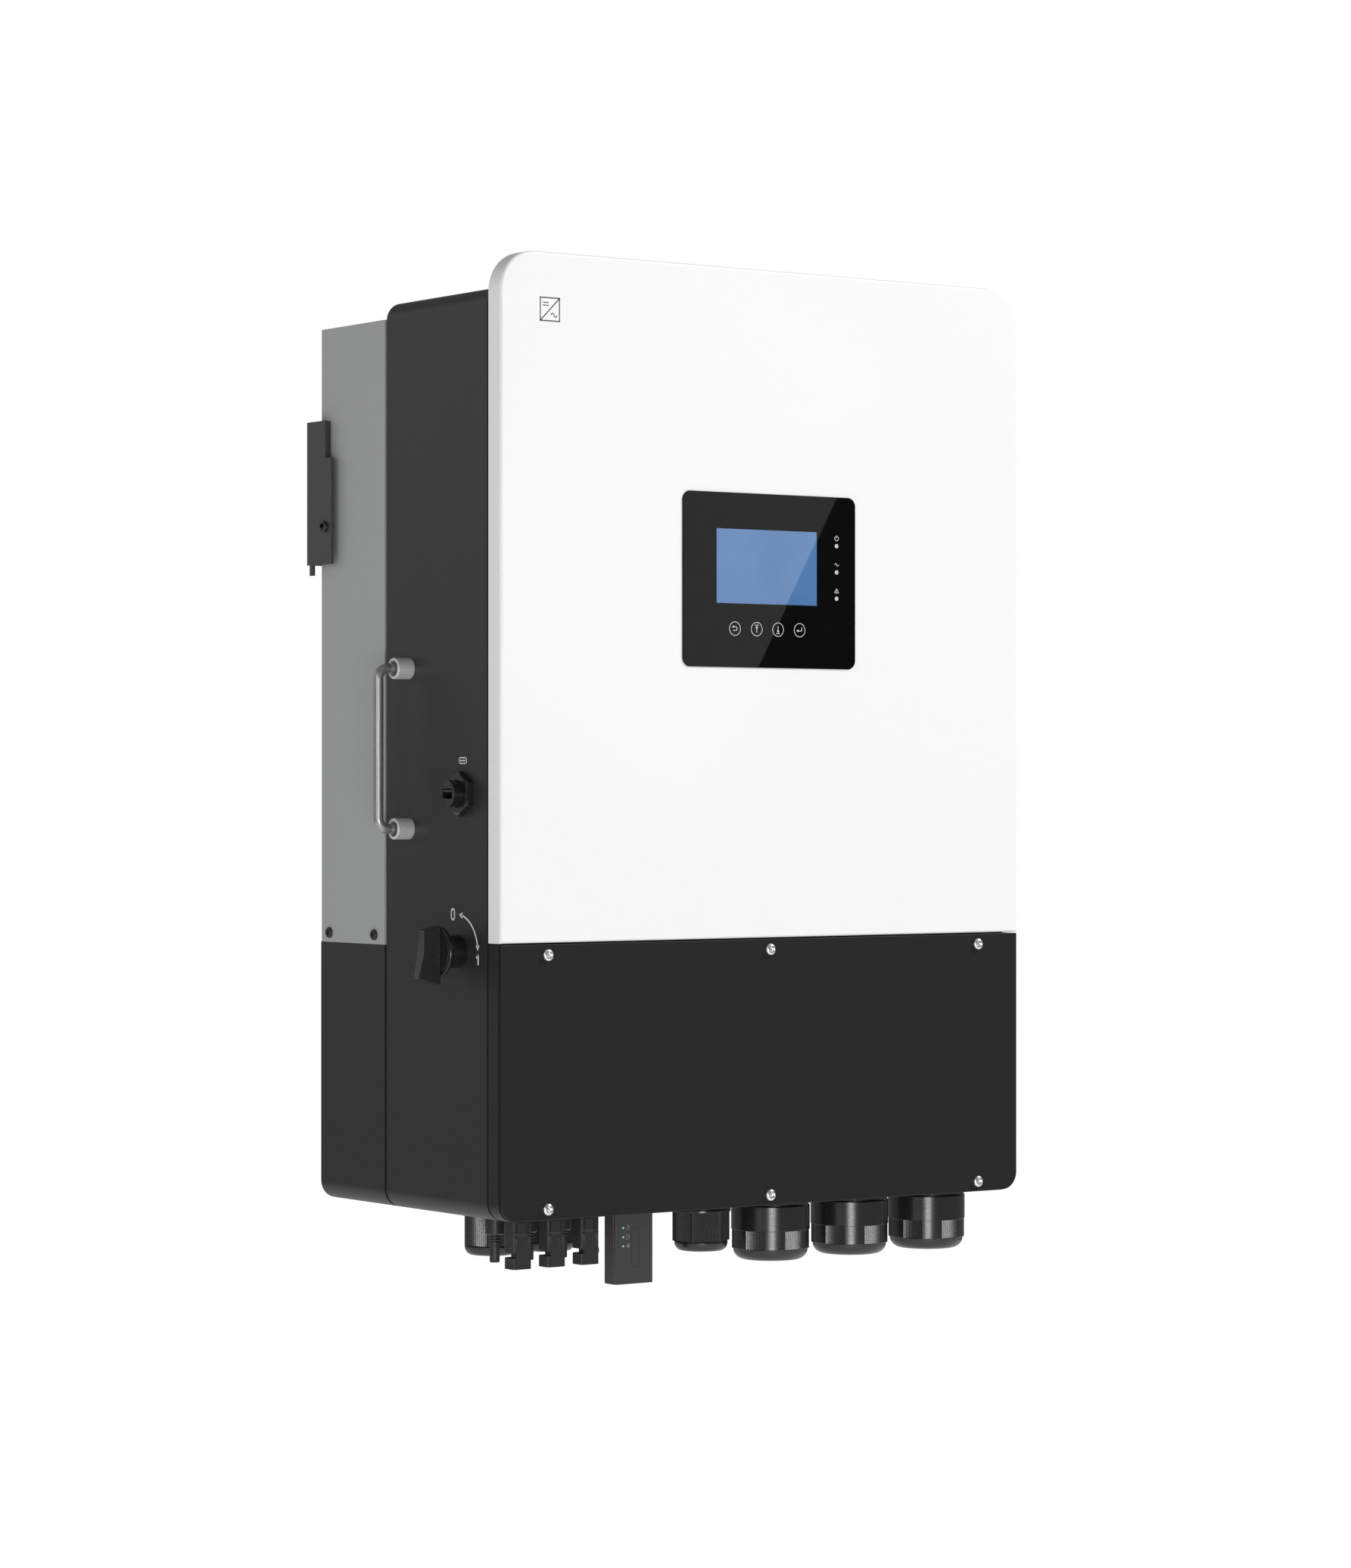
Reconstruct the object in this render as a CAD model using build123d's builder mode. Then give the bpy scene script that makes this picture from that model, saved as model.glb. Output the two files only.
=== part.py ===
from build123d import *
import os

# Wall-mounted string inverter. Millimetres, +Z up, the front faces -Y, the wall is the plane Y = 0.
# Origin: centre of the wall bracket's bolt pattern, on the wall.
# A "reach" is a distance in front of the wall, and a "lift" is a height above the body's underside.

os.makedirs("parts", exist_ok=True)

# Body, from the wall to the front
wall_gap = 9.0
duct_depth = 100.5
rear_seam = 3.0
chassis_depth = 148.0
gasket_thickness = 2.1
cover_depth = 17.4

# Body, width and heights
body_width = 520.0
top_rise = 149.3  # chassis top above the bolt pattern centre
wiring_height = 217.0
cover_overhang = 27.7  # front cover above the chassis
chassis_height = 729.3
lower_box_height = 211.7
duct_top_setback = 13.6  # duct below the chassis top

# Walls, corners and clearances
cover_wall = 3.0
chassis_wall = 3.0
duct_wall = 2.0
cover_corner = 32.0
cover_edge = 2.5
body_corner = 15.0
duct_edge = 3.0
flange_width = 14.0
seam_gap = 1.0
seat_gap = 0.3
running_gap = 0.05

# Front gaskets
gasket_inset = 1.2
gasket_width = 12.8

# Display
display_width = 173.4
display_height = 140.1
display_lift = 218.4  # lower edge above the wiring cover
display_corner = 7.0
display_thickness = 3.0
display_recess = 2.0
display_ledge = 5.0
lcd_width = 101.2
lcd_height = 60.2
lcd_side_shift = -3.1
lcd_rise = 11.15
lcd_frame = 5.0
lcd_depth = 7.0
led_radius = 1.75
led_side_shift = 67.4
led_rise = 8.9
led_pitch = 21.5
led_proud = 0.1
display_board_thickness = 1.6
display_boss_radius = 3.5

# Wiring cover, its frame and screws
plate_thickness = 3.0
frame_gap = 0.6
cover_screw_inset = 43.5
cover_screw_low = 9.0
cover_screw_high_inset = 9.5  # below the wiring cover's top
cover_boss_radius = 6.2
cover_screw_head = 4.75
cover_screw_head_height = 3.4
cover_screw_shank = 2.5
cover_screw_length = 22.0
recess_share = 1.15  # cross recess, arm length over head radius
crossbar_drop = 16.0  # chassis crossbar below and above the wiring cover's top
crossbar_rise = 14.0

# Partition between the wiring space and the electronics
partition_thickness = 2.0
partition_slot_length = 120.0
partition_slot_width = 30.0
partition_slot_spacing = 200.0

# Heat sink and fans
heat_sink_margin = 40.0
heat_sink_base = 8.0
heat_sink_bottom_gap = 20.0
heat_sink_top_gap = 17.0
fin_thickness = 2.0
fin_depth = 80.0
fin_pitch = 15.0
fan_size = 92.0
fan_height = 25.0
fan_rim = 2.0
fan_pitch = 160.0
fan_hub_radius = 18.0
fan_plate_height = 4.0
fan_pin_radius = 2.0
fan_blade_count = 7
fan_blade_chord = 21.0
fan_blade_thickness = 1.8
fan_tip_gap = 2.0
fan_blade_pitch_angle = 38.0
fan_strut_width = 4.0
guard_wire = 1.8
guard_ring_pitch = 10.0
guard_ring_count = 4
guard_ear_inset = 4.75  # from the fan's edge
guard_ear_radius = 4.5
guard_hole_radius = 2.2

# Rear duct, lower box and chokes
duct_flange = 16.0
duct_screw_lift = 219.3
duct_screw_reaches = (94.0, 24.0)
duct_screw_radius = 2.0
duct_screw_head = 4.4
duct_screw_head_height = 2.2
duct_screw_length = 9.0
tab_thickness = 2.0
tab_rise = 17.0
tab_root = 16.0
intake_slot_width = 6.0
intake_slot_length = 60.0
intake_slot_pitch = 12.0
intake_slot_count = 4
choke_spacing = 160.0
choke_width = 110.0
choke_depth = 52.0
choke_height = 130.0
choke_window_width = 22.0
choke_window_height = 82.0
choke_leg = 30.0
coil_wall = 18.0

# Wall bracket and hanger
bracket_side_gap = 5.0  # between the body and the bracket's ears
bracket_plate = 2.5
bracket_low = -58.3  # these levels are counted from the bolt pattern centre
bracket_step = 29.0
bracket_high = 59.6
ear_reach_low = 38.5
ear_reach_high = 28.5
ear_tab_width = 5.0
ear_tab_drop = 8.7
ear_tab_reach = 4.0
hook_front = 7.0
hook_height = 15.0
wall_bolt_spacing_x = 400.0
wall_bolt_spacing_z = 60.0
wall_bolt_radius = 4.5
lock_screw_reach = 28.5
lock_screw_level = -27.5
lock_screw_hole = 4.2
lock_screw_radius = 2.5
lock_screw_head = 4.6
lock_screw_head_height = 3.0
rail_plate = 2.0
rail_top = 110.0
rail_lip_drop = 11.0
rail_side_gap = 8.0
lug_thickness = 3.0
lug_low = 20.0
lug_reach = 25.3
lug_root = 30.0

# Electronics
standoff_height = 18.0
standoff_radius = 4.0
power_board_width = 440.0
power_board_low_gap = 42.0  # above the partition plate
power_board_top_gap = 49.3  # below the chassis top
power_board_thickness = 2.4
module_width = 62.0
module_height = 100.0
module_pitch = 100.0
module_drop = 120.0  # these drops and rises are from the power board's top and foot
capacitor_radius = 17.5
capacitor_length = 50.0
capacitor_pitch = 42.0
capacitor_rise = 170.0
relay_width = 30.0
relay_height = 26.0
relay_depth = 24.0
relay_pitch = 46.0
relay_rise = 40.0
control_board_width = 300.0
control_board_height = 160.0
control_board_drop = 120.0
control_board_thickness = 1.6
control_post_length = 70.0
shield_width = 70.0
shield_depth = 8.0
terminal_block_width = 70.0
terminal_block_height = 44.0
terminal_block_depth = 46.0
terminal_block_lift = 120.0
terminal_pole_pitch = 13.0
terminal_pole_radius = 4.5
battery_stud_radius = 4.0
battery_stud_length = 34.0
battery_base_width = 36.0
battery_base_depth = 24.0
battery_pitch = 44.0
battery_lift = 120.0
earth_bar_length = 110.0
earth_bar_width = 12.0
earth_bar_thickness = 6.0
earth_bar_foot = 10.0
earth_bar_lift = 50.0
earth_hole_pitch = 16.0
earth_hole_radius = 2.6
comms_board_width = 120.0
comms_board_height = 60.0
comms_board_drop = 52.0  # below the wiring cover's top
comms_post = 10.0
socket_width = 16.0
socket_depth = 13.0

# DC switch on the left side
switch_reach = 218.5
switch_lift = 209.5
switch_body_size = 56.0
switch_body_length = 72.0
switch_notch_gap = 4.0
collar_radius = 13.0
collar_length = 16.0
shaft_radius = 4.0
knob_gap = 0.4
knob_skirt_radius = 20.0
knob_skirt_height = 3.4
grip_root_up = 21.0
grip_root_down = 26.0
grip_tip_up = 17.0
grip_tip_down = 21.0
grip_out_up = 33.8
grip_out_down = 39.0
grip_root_width = 13.0
grip_tip_width = 8.2

# USB port on the left side
usb_reach = 226.0
usb_lift = 333.6
usb_nut_corner = 17.8
usb_nut_height = 6.4
usb_barrel_radius = 10.5
usb_barrel_bore = 9.0
usb_projection = 15.0
usb_flange_radius = 14.0
usb_flange_height = 3.0
usb_slot_width = 13.5
usb_slot_height = 7.8
usb_slot_depth = 12.0
usb_tongue = 1.9
usb_tongue_inset = 0.9

# Side handles
handle_reach = 146.7
handle_low = 305.5
handle_spacing = 128.0
handle_out = 28.8
handle_rod = 8.0
handle_bend = 8.5
handle_collar_gap = 2.3  # between the rod and the collar
handle_collar_wall = 2.2
handle_collar_length = 15.3
handle_collar_seat = 3.0
handle_nut_wall = 3.5
handle_nut_height = 6.5

# Cable glands, hanging from the underside
gland_reach = 220.0
gland_wall_inset = 50.0  # last large gland to the right side
large_gland_pitch = 82.3
small_gland_offset = 70.7  # small gland to the first large one
rear_gland_insets = (77.0, 132.0)  # from the left side
rear_gland_reach = 149.0
gland_flange = 5.0
gland_thread_length = 15.0
gland_wall = 4.5
gland_cap_floor = 4.0
gland_seal_length = 10.0
gland_cap_round = 9.0
large_thread_radius = 25.0
large_nut_wall = 7.5
large_flange_proud = 1.5
large_drop = 50.3
large_cable_radius = 17.0
small_thread_radius = 20.0
small_nut_wall = 3.8
small_flange_proud = 0.7
small_drop = 39.0
small_cable_radius = 12.0
locknut_height = 6.0
locknut_wall = 5.0

# Solar connectors
solar_inset = 50.0  # first connector to the left side
solar_pitch = 32.4
socket_reach = 228.5
pin_reach = 195.0
solar_thread_radius = 7.0
solar_thread_length = 12.0
solar_flange_radius = 9.0
solar_flange_height = 3.0
solar_nut_height = 5.0
solar_nut_corner = 10.5
solar_body_width = 17.3
solar_body_depth = 13.0
solar_body_drop = 42.3
solar_body_edge = 2.0
solar_notch_low = 33.0
solar_notch_high = 27.5
solar_notch_depth = 2.6
solar_bore_radius = 4.4
solar_bore_length = 28.0
solar_pin_radius = 4.0
solar_pin_drop = 40.0
solar_pin_neck = 3.2
solar_pin_base_radius = 8.6
solar_pin_base_drop = 18.0
solar_contact_radius = 1.6
solar_contact_depth = 18.0

# Data stick under the body
stick_inset = 168.2  # centre to the left side
stick_width = 37.2
stick_depth = 16.0
stick_reach = 220.0  # front face
stick_drop = 62.7
stick_edge = 2.0
stick_flange_width = 68.0
stick_flange_height = 2.5
stick_screw_spacing = 53.5
stick_screw_radius = 2.0
stick_screw_head = 4.0
stick_screw_head_height = 3.0
stick_screw_length = 9.0
stick_plug_radius = 6.5
stick_plug_length = 14.0

# Planes and levels that follow from the sizes
duct_back = wall_gap
duct_front = duct_back + duct_depth
chassis_back = duct_front + rear_seam
chassis_front = chassis_back + chassis_depth
cover_back = chassis_front + gasket_thickness
cover_front = cover_back + cover_depth
half_width = body_width / 2
chassis_top = top_rise
base = chassis_top - chassis_height
wiring_top = base + wiring_height
cover_top = chassis_top + cover_overhang
duct_bottom = base + lower_box_height
duct_top = chassis_top - duct_top_setback
inner_half = half_width - chassis_wall
inner_back = chassis_back + chassis_wall
duct_inner_half = half_width - duct_wall
large_nut_radius = large_thread_radius + large_nut_wall
large_flange_corner = large_nut_radius + large_flange_proud
small_nut_radius = small_thread_radius + small_nut_wall
small_flange_corner = small_nut_radius + small_flange_proud
fan_bore = fan_size - 2 * fan_rim
fan_blade_tip = fan_bore / 2 - fan_tip_gap
fan_top = duct_top - duct_wall
fan_bottom = fan_top - fan_height
guard_ear_spacing = fan_size - 2 * guard_ear_inset
guard_rings = [fan_blade_tip - step * guard_ring_pitch for step in range(guard_ring_count)]

TO_FRONT = (90, 0, 0)
TO_BACK = (-90, 0, 0)
TO_LEFT = (0, -90, 0)
TO_RIGHT = (0, 90, 0)
TO_BELOW = (180, 0, 0)
ON_SEAT = (Align.CENTER, Align.CENTER, Align.MIN)
UNDER_SEAT = (Align.CENTER, Align.CENTER, Align.MAX)


def slab(low_x, high_x, back_reach, front_reach, low_z, high_z, mode=Mode.ADD):
    # A box between six planes, the reaches counted from the wall towards the front.
    with BuildSketch(Plane.XZ.offset(back_reach)) as section:
        with Locations(((low_x + high_x) / 2, (low_z + high_z) / 2)):
            Rectangle(high_x - low_x, high_z - low_z)
    extrude(section.sketch, amount=front_reach - back_reach, mode=mode)


def round_rect(width, low_z, high_z, low_radius, high_radius):
    # A rectangle centred on X, in an upright sketch, with its own lower and upper corner radii.
    with Locations((0, (low_z + high_z) / 2)):
        Rectangle(width, high_z - low_z)
    if low_radius > 0:
        fillet(vertices().group_by(Axis.Y)[0], low_radius)
    if high_radius > 0:
        fillet(vertices().group_by(Axis.Y)[-1], high_radius)


def pan_screw(head_radius, head_height, shank_radius, shank_length):
    # Cross-recessed screw with its head towards +Z and its seat at Z = 0.
    with BuildPart() as screw:
        Cylinder(head_radius, head_height, align=ON_SEAT)
        fillet(screw.faces().sort_by(Axis.Z)[-1].edges(), head_height * 0.6)
        with BuildSketch(Plane.XY.offset(head_height)):
            Rectangle(head_radius * recess_share, head_radius * 0.3)
            Rectangle(head_radius * 0.3, head_radius * recess_share)
        extrude(amount=-head_height * 0.55, mode=Mode.SUBTRACT)
        Cylinder(shank_radius, shank_length, align=UNDER_SEAT)
    return screw.part


def hex_ring(corner_radius, bore_radius, height):
    # Hexagon nut standing on Z = 0.
    with BuildPart() as ring:
        with BuildSketch():
            RegularPolygon(corner_radius, 6)
            Circle(bore_radius, mode=Mode.SUBTRACT)
        extrude(amount=height)
    return ring.part


def front_ring(low_z, high_z, high_radius, low_radius):
    # Flat gasket between the chassis flange and what is in front of it.
    with BuildPart() as ring:
        with BuildSketch(Plane.XZ.offset(chassis_front)):
            round_rect(body_width - 2 * gasket_inset, low_z, high_z, low_radius, high_radius)
        extrude(amount=gasket_thickness)
        slab(
            -half_width + gasket_inset + gasket_width,
            half_width - gasket_inset - gasket_width,
            chassis_front,
            cover_back,
            low_z + gasket_width,
            high_z - gasket_width,
            Mode.SUBTRACT,
        )
    return ring.part


# Front cover: a shell that overhangs the chassis at the top, where a lip closes its back
display_z = wiring_top + display_lift + display_height / 2
boss_x = display_width / 2 - display_ledge + 1.4 * display_boss_radius
boss_z = display_height / 2 - 2.5 * display_boss_radius
display_board_front = cover_front + display_thickness - display_recess - display_thickness - lcd_depth
glass_front = cover_front + display_thickness - display_recess

with BuildPart() as front_cover:
    with BuildSketch(Plane.XZ.offset(cover_back)):
        round_rect(body_width, wiring_top, cover_top, 0, cover_corner)
    extrude(amount=cover_depth)
    fillet(front_cover.faces().sort_by(Axis.Y)[0].edges(), cover_edge)
    with BuildSketch(Plane.XZ.offset(cover_back + cover_wall)):
        round_rect(
            body_width - 2 * cover_wall,
            wiring_top + cover_wall,
            cover_top - cover_wall,
            0,
            cover_corner - cover_wall,
        )
    extrude(amount=cover_depth - 2 * cover_wall, mode=Mode.SUBTRACT)
    slab(
        -half_width + cover_wall,
        half_width - cover_wall,
        cover_back,
        cover_back + cover_wall,
        wiring_top + cover_wall,
        chassis_top - cover_wall,
        Mode.SUBTRACT,
    )
    with Locations(
        *[
            Location((x, -cover_front + cover_wall, display_z + z), TO_BACK)
            for x in (-boss_x, boss_x)
            for z in (-boss_z, boss_z)
        ]
    ):
        Cylinder(
            display_boss_radius,
            cover_front - cover_wall - display_board_front,
            align=ON_SEAT,
        )
    with BuildSketch(Plane.XZ.offset(cover_front)):
        with Locations((0, display_z)):
            RectangleRounded(
                display_width + 2 * seat_gap,
                display_height + 2 * seat_gap,
                display_corner + seat_gap,
            )
    extrude(amount=-display_recess, mode=Mode.SUBTRACT)
    with BuildSketch(Plane.XZ.offset(cover_front)):
        with Locations((0, display_z)):
            Rectangle(display_width - 2 * display_ledge, display_height - 2 * display_ledge)
    extrude(amount=-cover_wall, mode=Mode.SUBTRACT)
front_cover.part.label = "front_cover"
export_step(front_cover.part, "parts/front_cover.step")

# Gaskets behind the front cover and behind the wiring frame, the second with screw holes
cover_screw_places = [
    (x, base + lift)
    for lift in (cover_screw_low, wiring_height - cover_screw_high_inset)
    for x in (-half_width + cover_screw_inset, 0, half_width - cover_screw_inset)
]
front_gasket = front_ring(
    wiring_top + seam_gap,
    chassis_top - gasket_inset,
    body_corner - gasket_inset,
    0,
)
front_gasket.label = "front_gasket"
export_step(front_gasket, "parts/front_gasket.step")

with BuildPart() as wiring_gasket:
    add(front_ring(base + gasket_inset, wiring_top - seam_gap, 0, body_corner - gasket_inset))
    with BuildSketch(Plane.XZ.offset(chassis_front)):
        with Locations(*cover_screw_places):
            Circle(cover_screw_shank + seat_gap)
    extrude(amount=gasket_thickness, mode=Mode.SUBTRACT)
wiring_gasket.part.label = "wiring_gasket"
export_step(wiring_gasket.part, "parts/wiring_gasket.step")

# Display: glass with an opening for the LCD and three holes for light pipes
led_places = [(led_side_shift, display_z + led_rise + step * led_pitch) for step in (-1, 0, 1)]
glass_back = glass_front - display_thickness

with BuildPart() as display_panel:
    with BuildSketch(Plane.XZ.offset(glass_back)):
        with Locations((0, display_z)):
            RectangleRounded(display_width, display_height, display_corner)
        with Locations((lcd_side_shift, display_z + lcd_rise)):
            Rectangle(lcd_width, lcd_height, mode=Mode.SUBTRACT)
        with Locations(*led_places):
            Circle(led_radius + running_gap, mode=Mode.SUBTRACT)
    extrude(amount=display_thickness)
display_panel.part.label = "display_panel"
export_step(display_panel.part, "parts/display_panel.step")

with BuildPart() as lcd_module:
    with BuildSketch(Plane.XZ.offset(glass_back)):
        with Locations((lcd_side_shift, display_z + lcd_rise)):
            Rectangle(lcd_width - seat_gap, lcd_height - seat_gap)
    extrude(amount=display_thickness - seat_gap)
    with BuildSketch(Plane.XZ.offset(glass_back)):
        with Locations((lcd_side_shift, display_z + lcd_rise)):
            Rectangle(lcd_width + 2 * lcd_frame, lcd_height + 2 * lcd_frame)
    extrude(amount=-lcd_depth)
lcd_module.part.label = "lcd_module"
export_step(lcd_module.part, "parts/lcd_module.step")

with BuildPart() as led_indicators:
    with Locations(*[Location((x, -display_board_front, z), TO_FRONT) for x, z in led_places]):
        Cylinder(led_radius, glass_front + led_proud - display_board_front, align=ON_SEAT)
led_indicators.part.label = "led_indicators"
export_step(led_indicators.part, "parts/led_indicators.step")

with BuildPart() as display_board:
    slab(
        -boss_x - display_boss_radius,
        boss_x + display_boss_radius,
        display_board_front - display_board_thickness,
        display_board_front,
        display_z - display_height / 2 + display_ledge,
        display_z + display_height / 2 - display_ledge,
    )
display_board.part.label = "display_board"
export_step(display_board.part, "parts/display_board.step")

# Wiring cover: a screwed plate on a deep frame
plate_back = cover_front - plate_thickness

with BuildPart() as wiring_cover:
    with BuildSketch(Plane.XZ.offset(plate_back)):
        round_rect(
            body_width - 2 * frame_gap,
            base + frame_gap,
            wiring_top - seam_gap,
            body_corner - frame_gap,
            0,
        )
        with Locations(*cover_screw_places):
            Circle(cover_screw_shank + running_gap, mode=Mode.SUBTRACT)
    extrude(amount=plate_thickness)
    fillet(wiring_cover.faces().sort_by(Axis.Y)[0].outer_wire().edges(), frame_gap)
wiring_cover.part.label = "wiring_cover"
export_step(wiring_cover.part, "parts/wiring_cover.step")

with BuildPart() as wiring_frame:
    with BuildSketch(Plane.XZ.offset(cover_back)):
        round_rect(body_width, base, wiring_top - seam_gap, body_corner, 0)
    extrude(amount=plate_back - frame_gap - cover_back)
    with BuildSketch(Plane.XZ.offset(cover_back)):
        round_rect(
            body_width - 2 * cover_wall,
            base + cover_wall,
            wiring_top - seam_gap - cover_wall,
            body_corner - cover_wall,
            0,
        )
    extrude(amount=plate_back - frame_gap - cover_back, mode=Mode.SUBTRACT)
    with BuildSketch(Plane.XZ.offset(cover_back)):
        with Locations(*cover_screw_places):
            Circle(cover_boss_radius)
    extrude(amount=plate_back - cover_back)
    with BuildSketch(Plane.XZ.offset(cover_back)):
        with Locations(*cover_screw_places):
            Circle(cover_screw_shank + running_gap)
    extrude(amount=cover_depth, mode=Mode.SUBTRACT)
wiring_frame.part.label = "wiring_frame"
export_step(wiring_frame.part, "parts/wiring_frame.step")

cover_screw = pan_screw(
    cover_screw_head, cover_screw_head_height, cover_screw_shank, cover_screw_length
)
with BuildPart() as cover_screws:
    with Locations(*[Location((x, -cover_front, z), TO_FRONT) for x, z in cover_screw_places]):
        add(cover_screw)
cover_screws.part.label = "cover_screws"
export_step(cover_screws.part, "parts/cover_screws.step")

# Places of everything that passes through the chassis
large_gland_places = [
    (half_width - gland_wall_inset - step * large_gland_pitch, -gland_reach) for step in (2, 1, 0)
]
small_gland_places = [(large_gland_places[0][0] - small_gland_offset, -gland_reach)] + [
    (-half_width + inset, -rear_gland_reach) for inset in rear_gland_insets
]
solar_xs = [-half_width + solar_inset + step * solar_pitch for step in range(3)]
socket_places = [(x, -socket_reach) for x in solar_xs]
pin_places = [(x, -pin_reach) for x in solar_xs]
stick_x = -half_width + stick_inset
stick_y = -stick_reach + stick_depth / 2
stick_screw_places = [
    (stick_x + side * stick_screw_spacing / 2, stick_y) for side in (-1, 1)
]
handle_zs = [base + handle_low, base + handle_low + handle_spacing]
chassis_floor = base + chassis_wall

# Chassis: a box with a front flange, a crossbar and a raised land at the back
with BuildPart() as main_chassis:
    with BuildSketch(Plane.XZ.offset(chassis_back)):
        round_rect(body_width, base, chassis_top, body_corner, body_corner)
    extrude(amount=chassis_depth)
    with BuildSketch(Plane.XZ.offset(inner_back)):
        round_rect(
            body_width - 2 * chassis_wall,
            chassis_floor,
            chassis_top - chassis_wall,
            body_corner - chassis_wall,
            body_corner - chassis_wall,
        )
    extrude(amount=chassis_depth - 2 * chassis_wall, mode=Mode.SUBTRACT)
    for low, high in (
        (base + flange_width, wiring_top - crossbar_drop),
        (wiring_top + crossbar_rise, chassis_top - flange_width),
    ):
        slab(
            -half_width + flange_width,
            half_width - flange_width,
            chassis_front - chassis_wall,
            chassis_front,
            low,
            high,
            Mode.SUBTRACT,
        )
    slab(
        -duct_inner_half,
        duct_inner_half,
        duct_front,
        chassis_back,
        base + body_corner,
        duct_top - duct_wall,
    )
    with BuildSketch(Plane.XZ.offset(chassis_front)):
        with Locations(*cover_screw_places):
            Circle(cover_screw_shank + running_gap)
    extrude(amount=-chassis_wall, mode=Mode.SUBTRACT)
    with BuildSketch(Plane.XY.offset(base)):
        with Locations(*large_gland_places):
            Circle(large_thread_radius + running_gap)
        with Locations(*small_gland_places):
            Circle(small_thread_radius + running_gap)
        with Locations(*socket_places, *pin_places):
            Circle(solar_thread_radius + running_gap)
        with Locations((stick_x, stick_y)):
            Circle(stick_plug_radius + running_gap)
        with Locations(*stick_screw_places):
            Circle(stick_screw_radius + running_gap)
    extrude(amount=chassis_wall, mode=Mode.SUBTRACT)
    with BuildSketch(Plane.YZ.offset(-half_width)):
        with Locations((-usb_reach, base + usb_lift)):
            Circle(usb_barrel_radius + running_gap)
        with Locations((-switch_reach, base + switch_lift)):
            Circle(shaft_radius + seat_gap)
    extrude(amount=chassis_wall, mode=Mode.SUBTRACT)
    for side in (-1, 1):
        with BuildSketch(Plane.YZ.offset(side * half_width)):
            with Locations(*[(-handle_reach, z) for z in handle_zs]):
                Circle(handle_rod / 2 + running_gap)
        extrude(amount=-side * chassis_wall, mode=Mode.SUBTRACT)
main_chassis.part.label = "main_chassis"
export_step(main_chassis.part, "parts/main_chassis.step")

# Partition plate, notched round the DC switch, with two cable slots
partition_z = wiring_top + (crossbar_rise - crossbar_drop) / 2
notch_half = switch_body_size / 2 + switch_notch_gap

with BuildPart() as partition_plate:
    slab(
        -inner_half,
        inner_half,
        inner_back,
        chassis_front - chassis_wall,
        partition_z,
        partition_z + partition_thickness,
    )
    slab(
        -inner_half,
        -inner_half + switch_body_length + switch_notch_gap,
        switch_reach - notch_half,
        chassis_front - chassis_wall,
        partition_z,
        partition_z + partition_thickness,
        Mode.SUBTRACT,
    )
    with BuildSketch(Plane.XY.offset(partition_z)):
        with Locations((0, -(inner_back + chassis_front) / 2)):
            with GridLocations(partition_slot_spacing, 1, 2, 1):
                SlotOverall(partition_slot_length, partition_slot_width)
    extrude(amount=partition_thickness, mode=Mode.SUBTRACT)
partition_plate.part.label = "partition_plate"
export_step(partition_plate.part, "parts/partition_plate.step")

# Heat sink on the back of the chassis, inside the rear duct
heat_sink_low = duct_bottom + heat_sink_bottom_gap
heat_sink_height = fan_bottom - heat_sink_top_gap - heat_sink_low
heat_sink_width = body_width - 2 * heat_sink_margin
fin_count = int((heat_sink_width - fin_thickness) / fin_pitch) + 1
heat_sink_z = heat_sink_low + heat_sink_height / 2

with BuildPart() as heat_sink:
    slab(
        -heat_sink_width / 2,
        heat_sink_width / 2,
        duct_front - heat_sink_base,
        duct_front,
        heat_sink_low,
        heat_sink_low + heat_sink_height,
    )
    with BuildSketch(Plane.XZ.offset(duct_front - heat_sink_base)):
        with Locations((0, heat_sink_z)):
            with GridLocations(fin_pitch, 1, fin_count, 1):
                Rectangle(fin_thickness, heat_sink_height)
    extrude(amount=-fin_depth)
heat_sink.part.label = "heat_sink"
export_step(heat_sink.part, "parts/heat_sink.step")

# Rear duct cover: a tray open at the bottom, with three fan openings in its top
fan_y = -(duct_back + duct_wall + duct_front) / 2
fan_xs = [step * fan_pitch for step in (-1, 0, 1)]
duct_screw_places = [(-reach, base + duct_screw_lift) for reach in duct_screw_reaches]

with BuildPart() as rear_duct_cover:
    slab(-half_width, half_width, duct_back, duct_front, duct_bottom, duct_top)
    outer_edges = rear_duct_cover.edges().filter_by_position(Axis.Y, -duct_back, -duct_back)
    fillet(outer_edges.sort_by(Axis.Z)[1:], duct_edge)
    slab(
        -duct_inner_half,
        duct_inner_half,
        duct_back + duct_wall,
        duct_front - duct_wall,
        duct_bottom,
        fan_top,
        Mode.SUBTRACT,
    )
    slab(
        -half_width + duct_flange,
        half_width - duct_flange,
        duct_front - duct_wall,
        duct_front,
        duct_bottom,
        duct_top - duct_flange,
        Mode.SUBTRACT,
    )
    with BuildSketch(Plane.XY.offset(duct_top)):
        with Locations(*[(x, fan_y) for x in fan_xs]):
            Circle(fan_bore / 2)
            with GridLocations(guard_ear_spacing, guard_ear_spacing, 2, 2):
                Circle(guard_hole_radius)
    extrude(amount=-duct_wall, mode=Mode.SUBTRACT)
    for side in (-1, 1):
        with BuildSketch(Plane.YZ.offset(side * half_width)):
            with Locations(*duct_screw_places):
                Circle(duct_screw_radius + running_gap)
            with Locations((-lock_screw_reach, lock_screw_level)):
                Circle(lock_screw_radius + running_gap)
        extrude(amount=-side * duct_wall, mode=Mode.SUBTRACT)
rear_duct_cover.part.label = "rear_duct_cover"
export_step(rear_duct_cover.part, "parts/rear_duct_cover.step")

# Rear lower box: holds the chokes, with air intake slots in its floor and tabs into the duct cover
lower_box_floor = base + duct_wall
tab_outer = duct_inner_half
intake_xs = (-choke_spacing / 2, choke_spacing / 2)

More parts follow.
